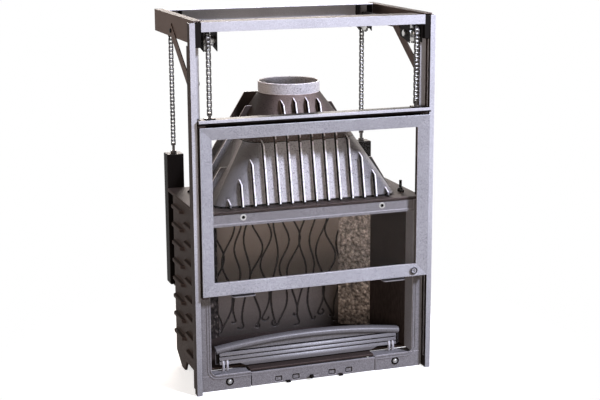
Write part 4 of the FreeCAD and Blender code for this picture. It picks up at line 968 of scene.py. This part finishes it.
def groove_lines(sizes, wide, tall):
    """Points along the wavy grooves and their curled feet; sines of a groove's number vary its course."""
    points = []
    gap = wide / sizes.grooves
    steps = 420
    curl_steps = 69
    for i in range(sizes.grooves + 1):
        middle = (i - 0.25) * gap
        stretch = 1.0 + 0.16 * math.sin(2.4 * i)
        swing = sizes.wave * (0.95 + 0.35 * math.sin(1.7 * i + 0.6))
        shift = 1.1 * math.sin(1.3 * i)
        foot = tall * (0.075 + 0.035 * math.sin(4.1 * i))
        for k in range(steps + 1):
            v = foot + (tall - foot) * k / steps
            narrow = 0.5 + 0.5 * min(1.0, v / (0.34 * tall))
            swell = 0.8 + 0.2 * narrow
            phase = 2.0 * math.pi * v / (sizes.wave_length * stretch * narrow) + math.pi * (i % 2) + shift
            points.append((middle + swing * swell * math.sin(phase) + 0.04 * v, v))
        curl = gap * (0.26 + 0.1 * math.sin(2.9 * i))
        hand = 1.0 if math.sin(5.3 * i) > 0.0 else -1.0
        foot_u, foot_v = points[-steps - 1]
        for k in range(curl_steps + 1):
            turn = (1.0 + 0.35 * math.sin(1.9 * i)) * math.pi * k / curl_steps
            points.append((foot_u + hand * curl * (1.0 - math.cos(turn)), foot_v - curl * math.sin(turn)))
    return points


class HEARTH_OT_fireback(bpy.types.Operator):
    """Cast fireback with wavy upright grooves"""
    bl_idname = "hearth.fireback"
    bl_label = "Fireback"

    def execute(self, context):
        sizes = context.scene.hearth_fireback
        start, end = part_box("fireback")
        thick = end.y - start.y
        half = end.x - thick * 0.25
        wide = 2.0 * half
        tall = end.z - start.z
        points = groove_lines(sizes, wide, tall)
        tree = kdtree.KDTree(len(points))
        for k, (u, v) in enumerate(points):
            tree.insert((u, v, 0.0), k)
        tree.balance()
        reach = sizes.groove_width / 2.0
        sand = 18.0 * MM
        sand_depth = 0.25 * MM
        # Painted shade darkens the grooves; the fireback also grows darker towards the bottom.
        dark_top = 0.85 * tall
        foot_dark = 0.97
        dark_curve = 0.6
        groove_shade = 2.4
        most_darkening = 1.06

        def relief(u, v):
            away = tree.find((u, v, 0.0))[2]
            share = max(0.0, 1.0 - (away / reach) ** 2)
            rough = noise.noise(Vector((u, v, 0.0)) / sand) * sand_depth
            smoke = foot_dark * max(0.0, 1.0 - v / dark_top) ** dark_curve
            return sizes.groove_depth * share + abs(rough), min(most_darkening, groove_shade * share + smoke)

        made = relief_slab(Vector((-half, start.y, start.z)), Vector((wide, 0, 0)), Vector((0, 0, tall)),
                           Vector((0, thick, 0)), sizes.cell, relief)
        finished(made, "fireback_finished", ["lining_iron"], "frame", SLOT_OF["fireback"], "fireback")
        return {"FINISHED"}


class HEARTH_OT_corner_panels(bpy.types.Operator):
    """Canted corner panels with a hammered face"""
    bl_idname = "hearth.corner_panels"
    bl_label = "Corner panels"

    def execute(self, context):
        sizes = context.scene.hearth_hammer
        fire_low, fire_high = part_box("fireback")
        thick = fire_high.y - fire_low.y
        for side, hand in HANDS.items():
            node = f"{side}_corner_panel"
            start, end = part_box(node)
            first = Vector((hand * nearest_x(f"{side}_side_lining"), start.y, start.z))
            second = Vector((hand * nearest_x(node), fire_low.y, start.z))
            along = second - first
            up = Vector((0, 0, end.z - start.z))
            away = along.cross(up).normalized()
            if away.y < 0.0:
                away = -away

            # Each side has its own dents. Painted shade: the left panel is darker, and so are the deeper dents.
            def relief(u, v, layer=7.0 * hand, smoke=0.35 - 0.35 * hand):
                spot = Vector((u, v, layer)) / sizes.dent
                cells = noise.voronoi(spot, distance_metric="DISTANCE_SQUARED")[0]
                coarse = noise.noise(spot * 0.7)
                fine = noise.noise(spot * 2.3)
                height = 0.9 * math.sqrt(cells[0]) + 0.35 * coarse + 0.25 * fine
                sink = sizes.relief * min(1.0, max(0.0, 0.25 + height))
                return sink, min(1.0, smoke + 0.75 * min(1.0, max(0.0, height)))

            made = relief_slab(first, along, up, away * thick, sizes.cell, relief)
            finished(made, node + "_finished", ["hammered_iron"], "frame", SLOT_OF[node], node)
        return {"FINISHED"}


class HEARTH_OT_hood(bpy.types.Operator):
    """Ribbed smoke hood and the flue collar on it"""
    bl_idname = "hearth.hood"
    bl_label = "Smoke hood"

    def execute(self, context):
        start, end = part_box("smoke_hood")
        foot = start.z + 6.0 * MM
        fold = start.z + 203.0 * MM
        fold_shade = 1.2 * MM
        rib_width = 5.5 * MM
        made = clean_copy("smoke_hood")
        part_faces(made, (foot, fold - fold_shade, fold + fold_shade))
        round_edges(made, 0.8 * MM, 1)
        rim = made.faces.layers.float["rim"]
        groove = made.verts.layers.float.new("groove")
        neck = high("flue_collar").x
        # Painted shade darkens the flanks, which turn away from the light; where it starts and how wide it fades
        # in are shares of the half width.
        flank_start = 0.45
        flank_fade = 0.4
        flank_shade = 0.75
        for vert in made.verts:
            half = end.x + (neck - end.x) * (vert.co.z - start.z) / (end.z - start.z)
            turned = min(1.0, max(0.0, (abs(vert.co.x) / half - flank_start) / flank_fade))
            vert[groove] = flank_shade * turned * turned * (3.0 - 2.0 * turned)
        for face in made.faces:
            spot = face.calc_center_median()
            wide = [max(v.co[k] for v in face.verts) - min(v.co[k] for v in face.verts) for k in (0, 1)]
            narrow = min(wide) < rib_width and abs(face.normal[wide.index(min(wide))]) < 0.02
            rib_edge = narrow and (abs(spot.x) > rib_width or spot.z < fold)
            rib_side = abs(face.normal.x) > 0.95 and abs(face.normal.y) < 0.1
            # Painted shade: the ribs' sides, a band at the foot and a line along the fold are black.
            if rib_side or spot.z < foot or abs(spot.z - fold) < fold_shade and not rib_edge:
                face.material_index = 1
            # Painted highlight: the ribs' front edges are lighter rims and are not darkened.
            elif rib_edge:
                face[rim] = 1.0
                for vert in face.verts:
                    vert[groove] = 0.0
            # Painted shade: above the fold the hood takes a darker copy of its paint.
            elif spot.z > fold:
                face.material_index = 2
        finished(made, "smoke_hood_finished", ["hood_paint", "black_steel", "shaded_hood_paint"], "frame",
                 SLOT_OF["smoke_hood"], "smoke_hood", smooth=math.radians(9.0))
        dress("flue_collar", "hood_paint", context.scene.hearth_edges.casting)
        return {"FINISHED"}


class HEARTH_OT_fender(bpy.types.Operator):
    """Log fender: a half-round arched band, an infill plate, louvre bars, a lower lip and forked feet"""
    bl_idname = "hearth.fender"
    bl_label = "Log fender"

    def execute(self, context):
        sizes = context.scene.hearth_fender
        start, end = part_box("log_fender")
        half = end.x
        front = start.y
        deep = end.y - front
        band = sizes.band
        edge = 1.2 * MM
        keys = ["fender_paint", "black_steel", "sheet_paint_and_painted_light"]
        shadow, prong_paint = 1, 2
        made = bmesh.new()

        # The arched band: half round in front, flat behind.
        radius = (half ** 2 + sizes.crown ** 2) / (2.0 * sizes.crown)
        centre = Vector((0.0, front, end.z - radius))
        spread = math.asin(half / radius)
        stations = 72
        turns = [-spread + 2.0 * spread * k / stations for k in range(stations + 1)]
        outs = [Vector((math.sin(turn), 0.0, math.cos(turn))) for turn in turns]
        nose = 0.55 * deep
        outline = [(nose - nose * math.cos(a), band / 2.0 * math.sin(a))
                   for a in [math.pi * (k / 12.0 - 0.5) for k in range(13)]]
        outline += [(deep, band / 2.0), (deep, -band / 2.0)]
        add_sweep(made, [centre + out * (radius - band / 2.0) for out in outs],
                  [(Vector((0, 1, 0)), out) for out in outs], outline)

        # The plate that fills the arch, the dark plate behind the bars, painted shade between them, and the lip
        # under them.
        web_front = front + 0.40 * deep
        web_back = front + 0.62 * deep
        bar_low = start.z + sizes.fork
        bars_top = bar_low + sizes.bars * sizes.bar_pitch - 1.0 * MM
        arc_radius = radius - band * 0.8
        arc = [(arc_radius * math.sin(turn), centre.z + arc_radius * math.cos(turn)) for turn in turns[::-1]]
        arc = [spot for spot in arc if spot[1] > bars_top]
        add_prism(made, [(-half, bars_top), (half, bars_top)] + arc, 1, web_front, web_back)
        add_prism(made, rectangle(-half, half, bar_low, bars_top), 1, web_front + 1.0 * MM, web_back, shadow)
        lip_half = half - 104.0 * MM
        lip_low = high("ash_grate").z + 0.4 * MM
        lip_top = bar_low + 2.0 * MM
        chamfer = 26.0 * MM
        add_prism(made, [(-lip_half - chamfer, lip_top), (lip_half + chamfer, lip_top), (lip_half, lip_low),
                         (-lip_half, lip_low)], 1, front + 1.0 * MM, web_back)

        # Two bowed prongs at each foot, in the lighter sheet paint.
        foot_x = half - 32.0 * MM
        prong_gap = 5.0 * MM
        overlap = 14.0 * MM
        bow = 5.4 * MM
        prong_y = front + 7.0 * MM
        half_width = sizes.prong / 2.0
        half_depth = 5.0 * MM
        sides = [2.0 * math.pi * k / 10.0 for k in range(10)]
        ring = [(half_width * math.cos(a), half_depth * math.sin(a)) for a in sides]
        axes = (Vector((1, 0, 0)), Vector((0, 1, 0)))
        for hand in HANDS.values():
            for step in (-1.0, 1.0):
                x = hand * foot_x + step * (sizes.prong + prong_gap) / 2.0
                path = []
                for share in [k / 10.0 for k in range(11)]:
                    path.append(Vector((x, prong_y - bow * math.sin(math.pi * share),
                                        bar_low + overlap - (sizes.fork + overlap) * share)))
                add_sweep(made, path, [axes] * len(path), ring, prong_paint)
        round_edges(made, edge, 2, math.radians(40.0))
        finished(made, "log_fender_finished", keys, "frame", SLOT_OF["log_fender"], "log_fender")

        tree, add, size = geometry_tree("louvre_bars", {"Pitch": sizes.bar_pitch, "First Bar": bar_low,
                                                        "Bars": sizes.bars})
        step = add("ShaderNodeCombineXYZ", {"Z": size["Pitch"]})
        base = add("ShaderNodeCombineXYZ", {"Z": size["First Bar"]})
        line = add("GeometryNodeMeshLine", {"Count": size["Bars"], "Start Location": base, "Offset": step})
        placed = add("GeometryNodeInstanceOnPoints", {"Points": line, "Instance": size["Geometry"]})
        real = add("GeometryNodeRealizeInstances", {"Geometry": placed})
        painted = add("GeometryNodeSetMaterial", {"Geometry": real, "Material": finish("fender_paint")})
        add("NodeGroupOutput", {"Geometry": painted})
        made = bmesh.new()
        bar_half = half - 0.5 * band
        add_prism(made, [(front, 0.0), (web_front, 0.0), (web_front, sizes.bar),
                         (front + 0.24 * deep, sizes.bar)], 0, -bar_half, bar_half)
        round_edges(made, edge)
        bars = linked("fender_louvre_bars", as_mesh(made, "fender_louvre_bars"))
        bars.modifiers.new("bars", "NODES").node_group = tree
        settle(bars)
        install(bars, "frame", SLOT_OF["log_fender"])
        return {"FINISHED"}


class HEARTH_OT_fasteners(bpy.types.Operator):
    """Screws and bolts of the front with their washers, and bolts of the frame"""
    bl_idname = "hearth.fasteners"
    bl_label = "Fasteners"

    def execute(self, context):
        edges = context.scene.hearth_edges
        face = low("front_lintel").y
        lintel = high("front_lintel")
        # The bolts lie below this height and the lintel's screws above it.
        parting = 0.3
        dress("front_screws", "roller_steel", edges.small, 2, "black_steel",
              lambda spot, normal: spot.z > parting)
        dress("frame_bolts", "black_steel", edges.small)
        screw_x = lintel.x - 117.0 * MM
        screw_z = lintel.z - 13.0 * MM
        bolt_radius = 9.0 * MM
        bolt_x = high("front_screws").x - bolt_radius
        bolt_z = low("front_screws").z + bolt_radius
        made = bmesh.new()
        for hand in HANDS.values():
            add_ring(made, Vector((hand * bolt_x, face, bolt_z)),
                     inner=9.4 * MM, outer=14.0 * MM, depth=1.6 * MM)
            add_ring(made, Vector((hand * screw_x, face, screw_z)),
                     inner=5.2 * MM, outer=10.5 * MM, depth=0.8 * MM)
        round_edges(made, 0.3 * MM)
        # The rings round the lower bolts are black, painted shadow round their heads; the lintel screws' washers
        # are bright.
        for ring in made.faces:
            ring.material_index = int(ring.calc_center_median().z > parting)
        finished(made, "front_screw_washers", ["black_steel", "bright_steel"], "frame", "black_steel")
        return {"FINISHED"}


def seen_rays(add):
    """One for rays that show the background: from the camera, from shiny metal and through glass."""
    path = add("ShaderNodeLightPath").outputs
    shown = path["Is Camera Ray"]
    for other in ("Is Glossy Ray", "Is Transmission Ray"):
        shown = add("ShaderNodeMath", {0: shown, 1: path[other]}, operation="MAXIMUM")
    return shown


class HEARTH_OT_stage(bpy.types.Operator):
    """Pale floor, soft lights, white surround and the camera"""
    bl_idname = "hearth.stage"
    bl_label = "Stage"

    def execute(self, context):
        scene = context.scene
        sizes = scene.hearth_stage
        pale_colour = scene.hearth_colours.floor
        # Matt pale floor: it keeps the shadow near the hearth and fades into the white surround. Rays that
        # light the hearth meet a dull floor instead, so that it throws little light up.
        fade_start = 0.35
        fade_end = 1.08
        material = bpy.data.materials.new("matt_pale_floor")
        add = empty_tree(material)
        place = add("ShaderNodeTexCoord").outputs["Object"]
        away = add("ShaderNodeVectorMath", {0: place}, operation="LENGTH").outputs["Value"]
        fade = add("ShaderNodeMapRange", {"Value": away, "From Min": fade_start, "From Max": fade_end},
                   interpolation_type="SMOOTHSTEP")
        matt = add("ShaderNodeBsdfDiffuse", {"Color": pale_colour})
        white = add("ShaderNodeEmission", {"Color": pale_colour, "Strength": 0.7})
        pale = add("ShaderNodeAddShader", {0: matt, 1: white})
        dull = add("ShaderNodeBsdfDiffuse", {"Color": linear("#5A534F")})
        clear = add("ShaderNodeBsdfTransparent")
        shown = add("ShaderNodeMixShader", {0: fade, 1: pale, 2: clear})
        mixed = add("ShaderNodeMixShader", {0: seen_rays(add), 1: dull, 2: shown})
        add("ShaderNodeOutputMaterial", {"Surface": mixed})
        made = bmesh.new()
        bmesh.ops.create_circle(made, cap_ends=True, segments=96, radius=sizes.floor_radius)
        mesh = bpy.data.meshes.new("pale_floor")
        made.to_mesh(mesh)
        made.free()
        mesh.materials.append(material)
        linked("pale_floor", mesh)

        scene.world = bpy.data.worlds.new("white_surround")
        add = empty_tree(scene.world)
        dim = add("ShaderNodeBackground", {"Color": linear("#D2C0B4"), "Strength": 0.075})
        white = add("ShaderNodeBackground", {"Color": (1.0, 1.0, 1.0, 1.0), "Strength": 1.0})
        mixed = add("ShaderNodeMixShader", {0: seen_rays(add), 1: dim, 2: white})
        add("ShaderNodeOutputWorld", {"Surface": mixed})

        middle = Vector((0.0, 0.0, 0.62))
        for name, spot, width, power, code in (
            ("key_light", (1.8, -3.2, 3.4), 0.7, 330.0, "#E4E9FF"),
            ("front_fill", (-1.5, -4.1, 1.1), 1.2, 50.0, "#FFF0E4"),
            ("left_fill", (-3.3, 0.9, 1.3), 1.4, 30.0, "#FFE8D6"),
            ("right_fill", (3.6, 1.2, 1.5), 1.4, 90.0, "#FFF4EC"),
            ("back_light", (0.9, 3.6, 2.0), 1.6, 150.0, "#FFF4EC"),
        ):
            light = bpy.data.lights.new(name, "AREA")
            light.shape = "SQUARE"
            light.size = width
            light.energy = power
            light.color = linear(code)[:3]
            lamp = linked(name, light)
            lamp.location = spot
            lamp.rotation_euler = (middle - Vector(spot)).to_track_quat("-Z", "Y").to_euler()

        camera = bpy.data.cameras.new("photo_camera")
        camera.sensor_width = 36.0
        camera.lens = sizes.lens
        eye = linked("photo_camera", camera)
        turn = Matrix.Rotation(-sizes.yaw, 4, "Z") @ Matrix.Rotation(RIGHT_ANGLE - sizes.pitch, 4, "X")
        eye.matrix_world = Matrix.Translation(sizes.eye) @ turn @ Matrix.Rotation(sizes.roll, 4, "Z")
        scene.camera = eye
        scene.view_settings.view_transform = "Standard"
        return {"FINISHED"}


OPERATORS = (
    HEARTH_OT_frame, HEARTH_OT_wheels, HEARTH_OT_chains, HEARTH_OT_weights, HEARTH_OT_door,
    HEARTH_OT_carriage, HEARTH_OT_fixed_front, HEARTH_OT_drawer, HEARTH_OT_firebox, HEARTH_OT_fireback,
    HEARTH_OT_corner_panels, HEARTH_OT_hood, HEARTH_OT_fender, HEARTH_OT_fasteners, HEARTH_OT_stage,
)


class HEARTH_PT_panel(bpy.types.Panel):
    """Lists the pieces and their sizes"""
    bl_idname = "HEARTH_PT_panel"
    bl_label = "Fireplace insert"
    bl_space_type = "VIEW_3D"
    bl_region_type = "UI"
    bl_category = "Hearth"

    def draw(self, context):
        for operator in OPERATORS:
            self.layout.operator(operator.bl_idname, text=operator.bl_label)
        for key, group in GROUPS.items():
            values = getattr(context.scene, key)
            for name in group.__annotations__:
                self.layout.prop(values, name)


CLASSES = tuple(GROUPS.values()) + OPERATORS + (HEARTH_PT_panel,)


def register():
    for item in CLASSES:
        bpy.utils.register_class(item)
    for key, group in GROUPS.items():
        setattr(bpy.types.Scene, key, PointerProperty(type=group))


def unregister():
    for key in GROUPS:
        delattr(bpy.types.Scene, key)
    for item in reversed(CLASSES):
        bpy.utils.unregister_class(item)


def main():
    register()
    for operator in OPERATORS:
        group, name = operator.bl_idname.split(".")
        getattr(getattr(bpy.ops, group), name)()
    bpy.context.view_layer.update()


if __name__ == "__main__":
    main()
